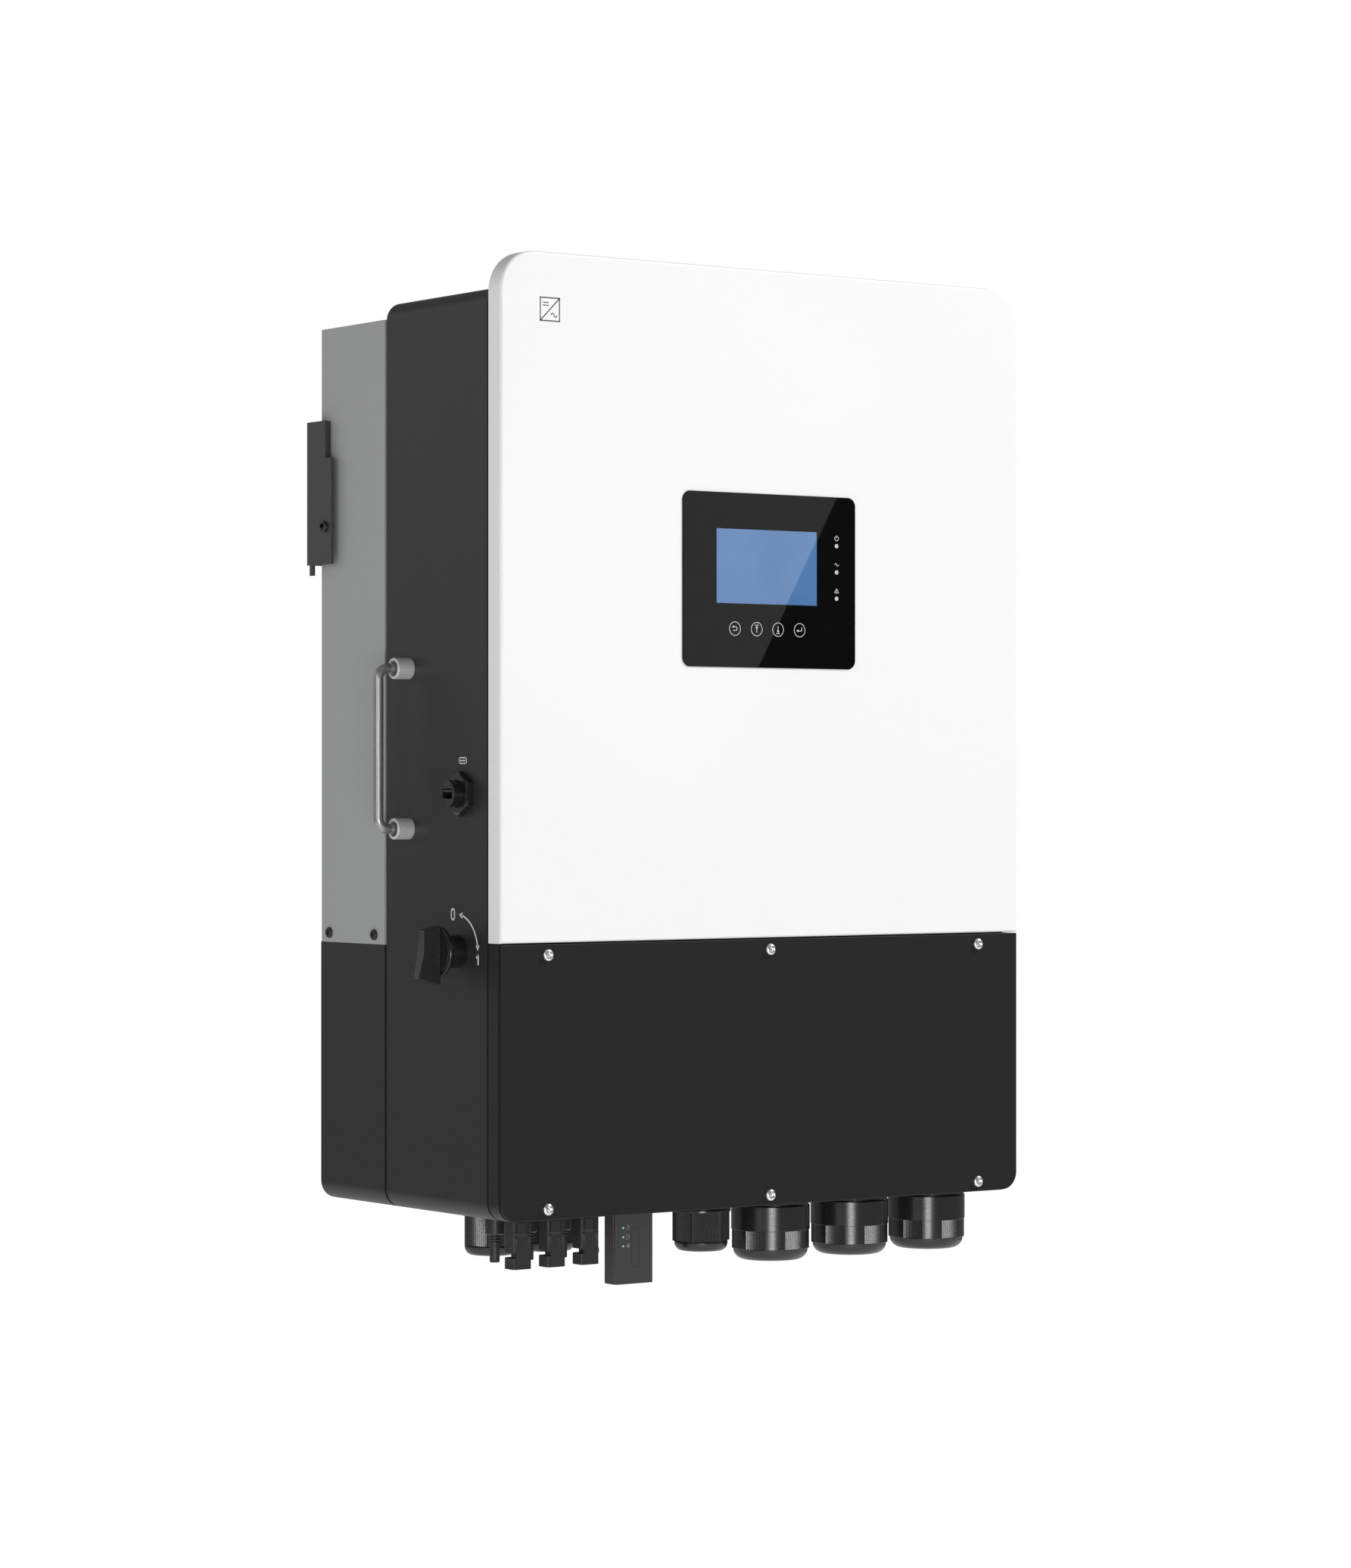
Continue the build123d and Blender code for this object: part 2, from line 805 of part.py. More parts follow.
with BuildPart() as rear_lower_box:
    with BuildSketch(Plane.XZ.offset(duct_back + seam_gap)):
        round_rect(body_width, base, duct_bottom, body_corner, 0)
    extrude(amount=duct_depth - seam_gap)
    with BuildSketch(Plane.XZ.offset(duct_back + seam_gap + duct_wall)):
        round_rect(
            body_width - 2 * duct_wall,
            lower_box_floor,
            duct_bottom,
            body_corner - duct_wall,
            0,
        )
    extrude(amount=duct_depth - seam_gap - 2 * duct_wall, mode=Mode.SUBTRACT)
    slab(
        -half_width + duct_flange,
        half_width - duct_flange,
        duct_front - duct_wall,
        duct_front,
        base + duct_flange,
        duct_bottom,
        Mode.SUBTRACT,
    )
    for side in (-1, 1):
        low_x, high_x = sorted((side * tab_outer, side * (tab_outer - tab_thickness)))
        slab(
            low_x,
            high_x,
            duct_back + seam_gap + duct_wall,
            duct_front - duct_wall,
            duct_bottom - tab_root,
            duct_bottom + tab_rise,
        )
        with BuildSketch(Plane.YZ.offset(side * tab_outer)):
            with Locations(*duct_screw_places):
                Circle(duct_screw_radius + running_gap)
        extrude(amount=-side * tab_thickness, mode=Mode.SUBTRACT)
    with BuildSketch(Plane.XY.offset(base)):
        with Locations(*[(x, fan_y) for x in intake_xs]):
            with GridLocations(intake_slot_pitch, 1, intake_slot_count, 1):
                SlotOverall(intake_slot_length, intake_slot_width, rotation=90)
    extrude(amount=duct_wall, mode=Mode.SUBTRACT)
rear_lower_box.part.label = "rear_lower_box"
export_step(rear_lower_box.part, "parts/rear_lower_box.step")

duct_screw = pan_screw(
    duct_screw_head, duct_screw_head_height, duct_screw_radius, duct_screw_length
)
with BuildPart() as rear_cover_screws:
    with Locations(*[Location((-half_width, y, z), TO_LEFT) for y, z in duct_screw_places]):
        add(duct_screw)
    with Locations(*[Location((half_width, y, z), TO_RIGHT) for y, z in duct_screw_places]):
        add(duct_screw)
rear_cover_screws.part.label = "rear_cover_screws"
export_step(rear_cover_screws.part, "parts/rear_cover_screws.step")

# Chokes on the floor of the rear lower box: a core with two windows, a coil round its middle leg
choke_xs = [step * choke_spacing for step in (-1, 0, 1)]
choke_z = lower_box_floor + choke_height / 2
choke_mid_reach = (duct_back + seam_gap + duct_wall + duct_front) / 2
window_offset = (choke_leg + choke_window_width) / 2

with BuildPart() as choke_cores:
    with BuildSketch(Plane.XZ.offset(choke_mid_reach - choke_depth / 2)):
        with Locations(*[(x, choke_z) for x in choke_xs]):
            Rectangle(choke_width, choke_height)
            with GridLocations(2 * window_offset, 1, 2, 1):
                Rectangle(choke_window_width, choke_window_height, mode=Mode.SUBTRACT)
    extrude(amount=choke_depth)
choke_cores.part.label = "choke_cores"
export_step(choke_cores.part, "parts/choke_cores.step")

with BuildPart() as choke_windings:
    with BuildSketch(Plane.XY.offset(choke_z - choke_window_height / 2 + seat_gap)):
        with Locations(*[(x, -choke_mid_reach) for x in choke_xs]):
            RectangleRounded(
                choke_leg + 2 * coil_wall, choke_depth + 2 * coil_wall, coil_wall / 2
            )
            Rectangle(
                choke_leg + 2 * seat_gap, choke_depth + 2 * seat_gap, mode=Mode.SUBTRACT
            )
    extrude(amount=choke_window_height - 2 * seat_gap)
choke_windings.part.label = "choke_windings"
export_step(choke_windings.part, "parts/choke_windings.step")

# Fans under the duct's top wall, each a frame with a pin and a rotor that turns on it
rotor_low = fan_bottom + fan_plate_height + 2 * seat_gap
rotor_height = fan_height - fan_plate_height - 6 * seat_gap

with BuildPart() as fan_frames:
    with BuildSketch(Plane.XY.offset(fan_bottom)):
        with Locations(*[(x, fan_y) for x in fan_xs]):
            RectangleRounded(fan_size, fan_size, guard_ear_radius)
            Circle(fan_bore / 2, mode=Mode.SUBTRACT)
            with GridLocations(guard_ear_spacing, guard_ear_spacing, 2, 2):
                Circle(guard_hole_radius, mode=Mode.SUBTRACT)
    extrude(amount=fan_height)
    with BuildSketch(Plane.XY.offset(fan_bottom)):
        with Locations(*[(x, fan_y) for x in fan_xs]):
            Circle(fan_hub_radius)
            Rectangle(fan_bore + fan_strut_width, fan_strut_width)
            Rectangle(fan_strut_width, fan_bore + fan_strut_width)
    extrude(amount=fan_plate_height)
    with BuildSketch(Plane.XY.offset(fan_bottom)):
        with Locations(*[(x, fan_y) for x in fan_xs]):
            Circle(fan_pin_radius)
    extrude(amount=fan_plate_height + rotor_height)
fan_frames.part.label = "fan_frames"
export_step(fan_frames.part, "parts/fan_frames.step")


def fan_rotor(x):
    # Hub with pitched blades, bored for the fan's pin.
    blade_length = fan_blade_tip - fan_hub_radius + 2
    with BuildPart() as rotor:
        with Locations((x, fan_y, rotor_low)):
            Cylinder(fan_hub_radius, rotor_height, align=ON_SEAT)
        with Locations((x, fan_y, rotor_low + rotor_height / 2)):
            with PolarLocations(fan_blade_tip - blade_length / 2, fan_blade_count):
                Box(
                    blade_length,
                    fan_blade_chord,
                    fan_blade_thickness,
                    rotation=(fan_blade_pitch_angle, 0, 0),
                )
        with Locations((x, fan_y, rotor_low)):
            Cylinder(
                fan_pin_radius + running_gap, rotor_height, align=ON_SEAT, mode=Mode.SUBTRACT
            )
    return rotor.part


for number, x in enumerate(fan_xs, start=1):
    rotor = fan_rotor(x)
    rotor.label = f"fan_rotor_{number}"
    export_step(rotor, f"parts/fan_rotor_{number}.step")

with BuildPart() as fan_guards:
    with BuildSketch(Plane.XY.offset(duct_top)):
        with Locations(*[(x, fan_y) for x in fan_xs]):
            for ring_radius in guard_rings:
                Circle(ring_radius + guard_wire / 2)
                Circle(ring_radius - guard_wire / 2, mode=Mode.SUBTRACT)
        with Locations(*[(x, fan_y) for x in fan_xs]):
            for turn in (45, 135):
                Rectangle(guard_ear_spacing * 2**0.5, guard_wire, rotation=turn)
            with GridLocations(guard_ear_spacing, guard_ear_spacing, 2, 2):
                Circle(guard_ear_radius)
                Circle(guard_hole_radius, mode=Mode.SUBTRACT)
    extrude(amount=guard_wire)
fan_guards.part.label = "fan_guards"
export_step(fan_guards.part, "parts/fan_guards.step")

# Wall bracket: plate with a hook along its upper edge and an ear at each end
bracket_half = half_width + bracket_side_gap + bracket_plate
hook_foot = bracket_high - hook_height
hook_back = hook_front - bracket_plate
wall_bolt_places = [
    (x * wall_bolt_spacing_x / 2, z * wall_bolt_spacing_z / 2) for x in (-1, 1) for z in (-1, 1)
]

with BuildPart() as wall_bracket:
    slab(-bracket_half, bracket_half, 0, bracket_plate, bracket_low, hook_foot)
    slab(
        -bracket_half,
        bracket_half,
        0,
        hook_front,
        hook_foot - bracket_plate,
        hook_foot,
    )
    slab(
        -bracket_half,
        bracket_half,
        hook_back,
        hook_front,
        hook_foot - bracket_plate,
        bracket_high,
    )
    for side in (-1, 1):
        with BuildSketch(Plane.YZ.offset(side * bracket_half)):
            with BuildLine():
                Polyline(
                    (0, bracket_low),
                    (-ear_tab_reach, bracket_low),
                    (-ear_tab_reach, bracket_low - ear_tab_drop),
                    (-ear_tab_reach - ear_tab_width, bracket_low - ear_tab_drop),
                    (-ear_tab_reach - ear_tab_width, bracket_low),
                    (-ear_reach_low, bracket_low),
                    (-ear_reach_low, bracket_step),
                    (-ear_reach_high, bracket_step),
                    (-ear_reach_high, bracket_high),
                    (0, bracket_high),
                    close=True,
                )
            make_face()
            with Locations((-lock_screw_reach, lock_screw_level)):
                Circle(lock_screw_hole, mode=Mode.SUBTRACT)
        extrude(amount=-side * bracket_plate)
    with BuildSketch(Plane.XZ):
        with Locations(*wall_bolt_places):
            Circle(wall_bolt_radius)
    extrude(amount=bracket_plate, mode=Mode.SUBTRACT)
wall_bracket.part.label = "wall_bracket"
export_step(wall_bracket.part, "parts/wall_bracket.step")

# Hanger rail on the duct's back: its lip drops behind the bracket's hook, its lugs wrap the sides
rail_half = half_width - rail_side_gap
rail_step = bracket_high
lip_front = hook_back - seat_gap
lip_back = lip_front - rail_plate
lug_back = hook_front + seat_gap

with BuildPart() as hanger_rail:
    slab(-rail_half, rail_half, duct_back - rail_plate, duct_back, rail_step, rail_top)
    slab(-rail_half, rail_half, lip_back, duct_back, rail_step, rail_step + rail_plate)
    slab(
        -rail_half,
        rail_half,
        lip_back,
        lip_front,
        rail_step - rail_lip_drop,
        rail_step + rail_plate,
    )
    for side in (-1, 1):
        outer_x = side * (half_width + lug_thickness)
        low_x, high_x = sorted((side * half_width, outer_x))
        slab(low_x, high_x, lug_back, lug_reach, lug_low, rail_step)
        low_x, high_x = sorted((side * (rail_half - lug_root), outer_x))
        slab(low_x, high_x, lug_back, duct_back, lug_low, rail_step)
hanger_rail.part.label = "hanger_rail"
export_step(hanger_rail.part, "parts/hanger_rail.step")

# Lock screws: through the bracket's ears into the duct cover
lock_screw = pan_screw(
    lock_screw_head,
    lock_screw_head_height,
    lock_screw_radius,
    bracket_half - half_width + duct_wall + lock_screw_head_height,
)
with BuildPart() as bracket_lock_screws:
    with Locations(
        Location((-bracket_half, -lock_screw_reach, lock_screw_level), TO_LEFT),
        Location((bracket_half, -lock_screw_reach, lock_screw_level), TO_RIGHT),
    ):
        add(lock_screw)
bracket_lock_screws.part.label = "bracket_lock_screws"
export_step(bracket_lock_screws.part, "parts/bracket_lock_screws.step")

# Power electronics on the chassis's back wall
board_back = inner_back + standoff_height
board_front = board_back + power_board_thickness
power_board_low = partition_z + partition_thickness + power_board_low_gap
power_board_high = chassis_top - power_board_top_gap
power_board_z = (power_board_low + power_board_high) / 2
board_corner_x = power_board_width / 2 - 2 * standoff_radius
board_corner_z = (power_board_high - power_board_low) / 2 - 2 * standoff_radius
post_corner_x = control_board_width / 2 - 2 * standoff_radius
post_corner_z = control_board_height / 2 - 2 * standoff_radius
control_back = board_front + control_post_length
control_z = power_board_high - control_board_drop
capacitor_z = power_board_low + capacitor_rise
relay_z = power_board_low + relay_rise
module_z = power_board_high - module_drop

with BuildPart() as power_modules:
    with BuildSketch(Plane.XZ.offset(inner_back)):
        with Locations((0, module_z)):
            with GridLocations(module_pitch, 1, 4, 1):
                Rectangle(module_width, module_height)
    extrude(amount=standoff_height)
power_modules.part.label = "power_modules"
export_step(power_modules.part, "parts/power_modules.step")

with BuildPart() as power_board:
    slab(
        -power_board_width / 2,
        power_board_width / 2,
        board_back,
        board_front,
        power_board_low,
        power_board_high,
    )
power_board.part.label = "power_board"
export_step(power_board.part, "parts/power_board.step")

with BuildPart() as board_standoffs:
    with BuildSketch(Plane.XZ.offset(inner_back)):
        with Locations((0, power_board_z)):
            with GridLocations(2 * board_corner_x, 2 * board_corner_z, 2, 2):
                RegularPolygon(standoff_radius, 6)
    extrude(amount=standoff_height)
    with BuildSketch(Plane.XZ.offset(board_front)):
        with Locations((0, control_z)):
            with GridLocations(2 * post_corner_x, 2 * post_corner_z, 2, 2):
                RegularPolygon(standoff_radius, 6)
    extrude(amount=control_post_length)
board_standoffs.part.label = "board_standoffs"
export_step(board_standoffs.part, "parts/board_standoffs.step")

with BuildPart() as dc_link_capacitors:
    with BuildSketch(Plane.XZ.offset(board_front)):
        with Locations((0, capacitor_z)):
            with GridLocations(capacitor_pitch, capacitor_pitch, 6, 2):
                Circle(capacitor_radius)
    extrude(amount=capacitor_length)
    fillet(dc_link_capacitors.faces().group_by(Axis.Y)[0].edges(), 2)
dc_link_capacitors.part.label = "dc_link_capacitors"
export_step(dc_link_capacitors.part, "parts/dc_link_capacitors.step")

with BuildPart() as relays:
    with BuildSketch(Plane.XZ.offset(board_front)):
        with Locations((0, relay_z)):
            with GridLocations(relay_pitch, 1, 6, 1):
                Rectangle(relay_width, relay_height)
    extrude(amount=relay_depth)
relays.part.label = "relays"
export_step(relays.part, "parts/relays.step")

with BuildPart() as control_board:
    slab(
        -control_board_width / 2,
        control_board_width / 2,
        control_back,
        control_back + control_board_thickness,
        control_z - control_board_height / 2,
        control_z + control_board_height / 2,
    )
    with BuildSketch(Plane.XZ.offset(control_back + control_board_thickness)):
        with Locations((0, control_z)):
            Rectangle(shield_width, shield_width)
    extrude(amount=shield_depth)
control_board.part.label = "control_board"
export_step(control_board.part, "parts/control_board.step")

# Wiring space: terminal blocks, battery studs, earth bar and communication board
with BuildPart() as ac_terminal_blocks:
    with BuildSketch(Plane.XZ.offset(inner_back)):
        with Locations(*[(x, base + terminal_block_lift) for x, y in large_gland_places]):
            Rectangle(terminal_block_width, terminal_block_height)
    extrude(amount=terminal_block_depth)
    with BuildSketch(Plane.XZ.offset(inner_back + terminal_block_depth)):
        with Locations(*[(x, base + terminal_block_lift) for x, y in large_gland_places]):
            with GridLocations(terminal_pole_pitch, 1, 5, 1):
                Circle(terminal_pole_radius)
    extrude(amount=-terminal_block_depth / 3, mode=Mode.SUBTRACT)
ac_terminal_blocks.part.label = "ac_terminal_blocks"
export_step(ac_terminal_blocks.part, "parts/ac_terminal_blocks.step")

battery_x = small_gland_places[0][0] - battery_pitch / 2
with BuildPart() as battery_terminals:
    with BuildSketch(Plane.XZ.offset(inner_back)):
        with Locations((battery_x, base + battery_lift)):
            with GridLocations(battery_pitch, 1, 2, 1):
                Rectangle(battery_base_width, battery_base_width)
    extrude(amount=battery_base_depth)
    with BuildSketch(Plane.XZ.offset(inner_back + battery_base_depth)):
        with Locations((battery_x, base + battery_lift)):
            with GridLocations(battery_pitch, 1, 2, 1):
                Circle(battery_stud_radius)
    extrude(amount=battery_stud_length)
battery_terminals.part.label = "battery_terminals"
export_step(battery_terminals.part, "parts/battery_terminals.step")

comms_z = wiring_top - comms_board_drop
left_panel_x = -half_width + (solar_inset + stick_inset) / 2
with BuildPart() as earth_bar:
    with BuildSketch(Plane.XZ.offset(inner_back + earth_bar_foot)):
        with Locations((left_panel_x, base + earth_bar_lift)):
            Rectangle(earth_bar_length, earth_bar_width)
            with GridLocations(earth_hole_pitch, 1, 5, 1):
                Circle(earth_hole_radius, mode=Mode.SUBTRACT)
    extrude(amount=earth_bar_thickness)
    with BuildSketch(Plane.XZ.offset(inner_back)):
        with Locations((left_panel_x, base + earth_bar_lift)):
            with GridLocations(earth_bar_length - earth_bar_width, 1, 2, 1):
                Rectangle(earth_bar_width, earth_bar_width)
    extrude(amount=earth_bar_foot)
earth_bar.part.label = "earth_bar"
export_step(earth_bar.part, "parts/earth_bar.step")

comms_back = inner_back + comms_post
with BuildPart() as comms_board:
    with BuildSketch(Plane.XZ.offset(comms_back)):
        with Locations((left_panel_x, comms_z)):
            Rectangle(comms_board_width, comms_board_height)
    extrude(amount=control_board_thickness)
    with BuildSketch(Plane.XZ.offset(inner_back)):
        with Locations((left_panel_x, comms_z)):
            with GridLocations(
                comms_board_width - 4 * standoff_radius,
                comms_board_height - 4 * standoff_radius,
                2,
                2,
            ):
                Circle(standoff_radius)
    extrude(amount=comms_post)
    with BuildSketch(Plane.XZ.offset(comms_back + control_board_thickness)):
        with Locations(
            (left_panel_x, comms_z - comms_board_height / 2 + socket_width / 2)
        ):
            with GridLocations(1.4 * socket_width, 1, 5, 1):
                Rectangle(socket_width, socket_width)
    extrude(amount=socket_depth)
comms_board.part.label = "comms_board"
export_step(comms_board.part, "parts/comms_board.step")

# DC switch: body inside the chassis, collar outside, shaft through both, knob on the shaft
switch_y = -switch_reach
switch_z = base + switch_lift
knob_back = -half_width - collar_length - knob_gap
skirt_front = knob_back - knob_skirt_height

with BuildPart() as dc_switch_body:
    with BuildSketch(Plane.YZ.offset(-inner_half)):
        with Locations((switch_y, switch_z)):
            Rectangle(switch_body_size, switch_body_size)
            Circle(shaft_radius + running_gap, mode=Mode.SUBTRACT)
    extrude(amount=switch_body_length)
dc_switch_body.part.label = "dc_switch_body"
export_step(dc_switch_body.part, "parts/dc_switch_body.step")

with BuildPart() as dc_switch_collar:
    with Locations(Location((-half_width, switch_y, switch_z), TO_LEFT)):
        Cylinder(collar_radius, collar_length, align=ON_SEAT)
        Cylinder(
            shaft_radius + running_gap, collar_length, align=ON_SEAT, mode=Mode.SUBTRACT
        )
dc_switch_collar.part.label = "dc_switch_collar"
export_step(dc_switch_collar.part, "parts/dc_switch_collar.step")

grip_tip_low = (-half_width - grip_out_down, switch_z - grip_tip_down)
grip_tip_high = (-half_width - grip_out_up, switch_z + grip_tip_up)
tip_run = grip_tip_high[0] - grip_tip_low[0]
tip_rise = grip_tip_high[1] - grip_tip_low[1]
tip_length = (tip_run**2 + tip_rise**2) ** 0.5
tip_plane = Plane(
    origin=(
        (grip_tip_low[0] + grip_tip_high[0]) / 2,
        switch_y,
        (grip_tip_low[1] + grip_tip_high[1]) / 2,
    ),
    x_dir=(0, 1, 0),
    z_dir=(-tip_rise, 0, tip_run),
)
root_plane = Plane(
    origin=(skirt_front, switch_y, switch_z + (grip_root_up - grip_root_down) / 2),
    x_dir=(0, 1, 0),
    z_dir=(-1, 0, 0),
)
with BuildPart() as dc_switch_knob:
    with BuildSketch(root_plane):
        RectangleRounded(grip_root_width, grip_root_up + grip_root_down, grip_root_width / 3)
    with BuildSketch(tip_plane):
        RectangleRounded(grip_tip_width, tip_length, grip_root_width / 5)
    loft()
    with Locations(Location((knob_back, switch_y, switch_z), TO_LEFT)):
        Cylinder(knob_skirt_radius, knob_skirt_height, align=ON_SEAT)
        Cylinder(
            shaft_radius,
            2 * knob_skirt_height,
            align=ON_SEAT,
            mode=Mode.SUBTRACT,
        )
dc_switch_knob.part.label = "dc_switch_knob"
export_step(dc_switch_knob.part, "parts/dc_switch_knob.step")

shaft_start = -inner_half + switch_body_length - chassis_wall
shaft_end = knob_back - 2 * knob_skirt_height
with BuildPart() as dc_switch_shaft:
    with Locations(Location((shaft_start, switch_y, switch_z), TO_LEFT)):
        Cylinder(shaft_radius, shaft_start - shaft_end, align=ON_SEAT)
dc_switch_shaft.part.label = "dc_switch_shaft"
export_step(dc_switch_shaft.part, "parts/dc_switch_shaft.step")

# USB port: flanged barrel through the side, nut outside, socket insert within
usb_seat = Location((-half_width, -usb_reach, base + usb_lift), TO_LEFT)
usb_root = Location(
    (-inner_half + usb_flange_height, -usb_reach, base + usb_lift), TO_LEFT
)
usb_length = usb_projection + chassis_wall + usb_flange_height

with BuildPart() as usb_barrel:
    with Locations(usb_root):
        Cylinder(usb_flange_radius, usb_flange_height, align=ON_SEAT)
        Cylinder(usb_barrel_radius, usb_length, align=ON_SEAT)
        Cylinder(usb_barrel_bore, usb_length, align=ON_SEAT, mode=Mode.SUBTRACT)
usb_barrel.part.label = "usb_barrel"
export_step(usb_barrel.part, "parts/usb_barrel.step")

usb_hexagon = hex_ring(usb_nut_corner, usb_barrel_radius + running_gap, usb_nut_height)
with BuildPart() as usb_nut:
    with Locations(usb_seat):
        add(usb_hexagon)
usb_nut.part.label = "usb_nut"
export_step(usb_nut.part, "parts/usb_nut.step")

usb_face = -half_width - usb_projection + seat_gap
usb_z = base + usb_lift
with BuildPart() as usb_insert:
    with Locations(usb_root):
        Cylinder(usb_barrel_bore - running_gap, usb_length - seat_gap, align=ON_SEAT)
    with BuildSketch(Plane.YZ.offset(usb_face)):
        with Locations((-usb_reach, usb_z)):
            Rectangle(usb_slot_width, usb_slot_height)
        with Locations(
            (-usb_reach, usb_z + usb_slot_height / 2 - usb_tongue_inset - usb_tongue / 2)
        ):
            Rectangle(usb_slot_width - 2 * usb_tongue_inset, usb_tongue, mode=Mode.SUBTRACT)
    extrude(amount=usb_slot_depth, mode=Mode.SUBTRACT)
usb_insert.part.label = "usb_insert"
export_step(usb_insert.part, "parts/usb_insert.step")


def bar_handle(side):
    # Bent rod whose two ends pass through the side wall; side is -1 for left, 1 for right.
    root_x = side * (inner_half - handle_nut_height - 1)
    out_x = side * (half_width + handle_out)
    with BuildPart() as handle:
        with BuildLine() as route:
            FilletPolyline(
                (root_x, -handle_reach, handle_zs[0]),
                (out_x, -handle_reach, handle_zs[0]),
                (out_x, -handle_reach, handle_zs[1]),
                (root_x, -handle_reach, handle_zs[1]),
                radius=handle_bend,
            )
        with BuildSketch(Plane(origin=route.line @ 0, z_dir=route.line % 0)):
            Circle(handle_rod / 2)
        sweep()
    return handle.part


handle_left = bar_handle(-1)
handle_left.label = "handle_left"
export_step(handle_left, "parts/handle_left.step")

handle_right = bar_handle(1)
handle_right.label = "handle_right"
export_step(handle_right, "parts/handle_right.step")

handle_collar_bore = handle_rod / 2 + handle_collar_gap
handle_collar_radius = handle_collar_bore + handle_collar_wall
handle_nut_radius = handle_rod / 2 + handle_nut_wall

with BuildPart() as handle_collar:
    Cylinder(handle_collar_radius, handle_collar_length, align=ON_SEAT)
    fillet(handle_collar.edges().sort_by(Axis.Z)[-1], 1)
    Cylinder(
        handle_rod / 2 + running_gap, handle_collar_length, align=ON_SEAT, mode=Mode.SUBTRACT
    )
    with Locations((0, 0, handle_collar_seat)):
        Cylinder(handle_collar_bore, handle_collar_length, align=ON_SEAT, mode=Mode.SUBTRACT)

handle_seats = [
    Location((side * half_width, -handle_reach, z), TO_RIGHT if side > 0 else TO_LEFT)
    for side in (-1, 1)
    for z in handle_zs
]
with BuildPart() as handle_collars:
    with Locations(*handle_seats):
        add(handle_collar.part)
handle_collars.part.label = "handle_collars"
export_step(handle_collars.part, "parts/handle_collars.step")

handle_hexagon = hex_ring(handle_nut_radius, handle_rod / 2 + running_gap, handle_nut_height)
with BuildPart() as handle_nuts:
    with Locations(
        *[
            Location((side * inner_half, -handle_reach, z), TO_LEFT if side > 0 else TO_RIGHT)
            for side in (-1, 1)
            for z in handle_zs
        ]
    ):
        add(handle_hexagon)
handle_nuts.part.label = "handle_nuts"
export_step(handle_nuts.part, "parts/handle_nuts.step")


def gland_body(thread_radius, flange_corner, drop):
    # Hexagon flange under the wall, thread up through it, sleeve down into the dome nut.
    sleeve_drop = drop - gland_cap_floor - gland_seal_length
    with BuildPart() as body:
        with BuildSketch():
            RegularPolygon(flange_corner, 6)
        extrude(amount=-gland_flange)
        Cylinder(thread_radius, gland_thread_length, align=ON_SEAT)
        Cylinder(thread_radius - seat_gap, sleeve_drop, align=UNDER_SEAT)
        with Locations((0, 0, gland_thread_length)):
            Cylinder(
                thread_radius - gland_wall,
                gland_thread_length + sleeve_drop,
                align=UNDER_SEAT,
                mode=Mode.SUBTRACT,
            )
    return body.part


def dome_nut(thread_radius, nut_radius, drop):
    # Round cap below the flange, bored for the sleeve, with the cable opening in its floor.
    cap_length = drop - gland_flange
    with BuildPart() as cap:
        with Locations((0, 0, -gland_flange)):
            Cylinder(nut_radius, cap_length, align=UNDER_SEAT)
        fillet(cap.edges().sort_by(Axis.Z)[0], gland_cap_round)
        with Locations((0, 0, -gland_flange)):
            Cylinder(
                thread_radius, cap_length - gland_cap_floor, align=UNDER_SEAT, mode=Mode.SUBTRACT
            )
            Cylinder(
                thread_radius - gland_wall, cap_length, align=UNDER_SEAT, mode=Mode.SUBTRACT
            )
    return cap.part


def gland_seal(thread_radius, cable_radius, drop):
    # Rubber ring between the sleeve's end and the dome nut's floor.
    with BuildPart() as seal:
        with Locations((0, 0, -drop + gland_cap_floor)):
            Cylinder(thread_radius - seat_gap, gland_seal_length, align=ON_SEAT)
            Cylinder(cable_radius, gland_seal_length, align=ON_SEAT, mode=Mode.SUBTRACT)
    return seal.part


def placed(piece, places, z):
    # Copies of one piece at several places in plan.
    with BuildPart() as group:
        with Locations(*[(x, y, z) for x, y in places]):
            add(piece)
    return group.part


large_gland_bodies = placed(
    gland_body(large_thread_radius, large_flange_corner, large_drop), large_gland_places, base
)
large_gland_bodies.label = "large_gland_bodies"
export_step(large_gland_bodies, "parts/large_gland_bodies.step")

large_gland_domes = placed(
    dome_nut(large_thread_radius, large_nut_radius, large_drop), large_gland_places, base
)
large_gland_domes.label = "large_gland_domes"
export_step(large_gland_domes, "parts/large_gland_domes.step")

small_gland_bodies = placed(
    gland_body(small_thread_radius, small_flange_corner, small_drop), small_gland_places, base
)
small_gland_bodies.label = "small_gland_bodies"
export_step(small_gland_bodies, "parts/small_gland_bodies.step")

small_gland_domes = placed(
    dome_nut(small_thread_radius, small_nut_radius, small_drop), small_gland_places, base
)
small_gland_domes.label = "small_gland_domes"
export_step(small_gland_domes, "parts/small_gland_domes.step")

large_seal = gland_seal(large_thread_radius, large_cable_radius, large_drop)
small_seal = gland_seal(small_thread_radius, small_cable_radius, small_drop)
with BuildPart() as gland_seals:
    with Locations(*[(x, y, base) for x, y in large_gland_places]):
        add(large_seal)
    with Locations(*[(x, y, base) for x, y in small_gland_places]):
        add(small_seal)
gland_seals.part.label = "gland_seals"
export_step(gland_seals.part, "parts/gland_seals.step")

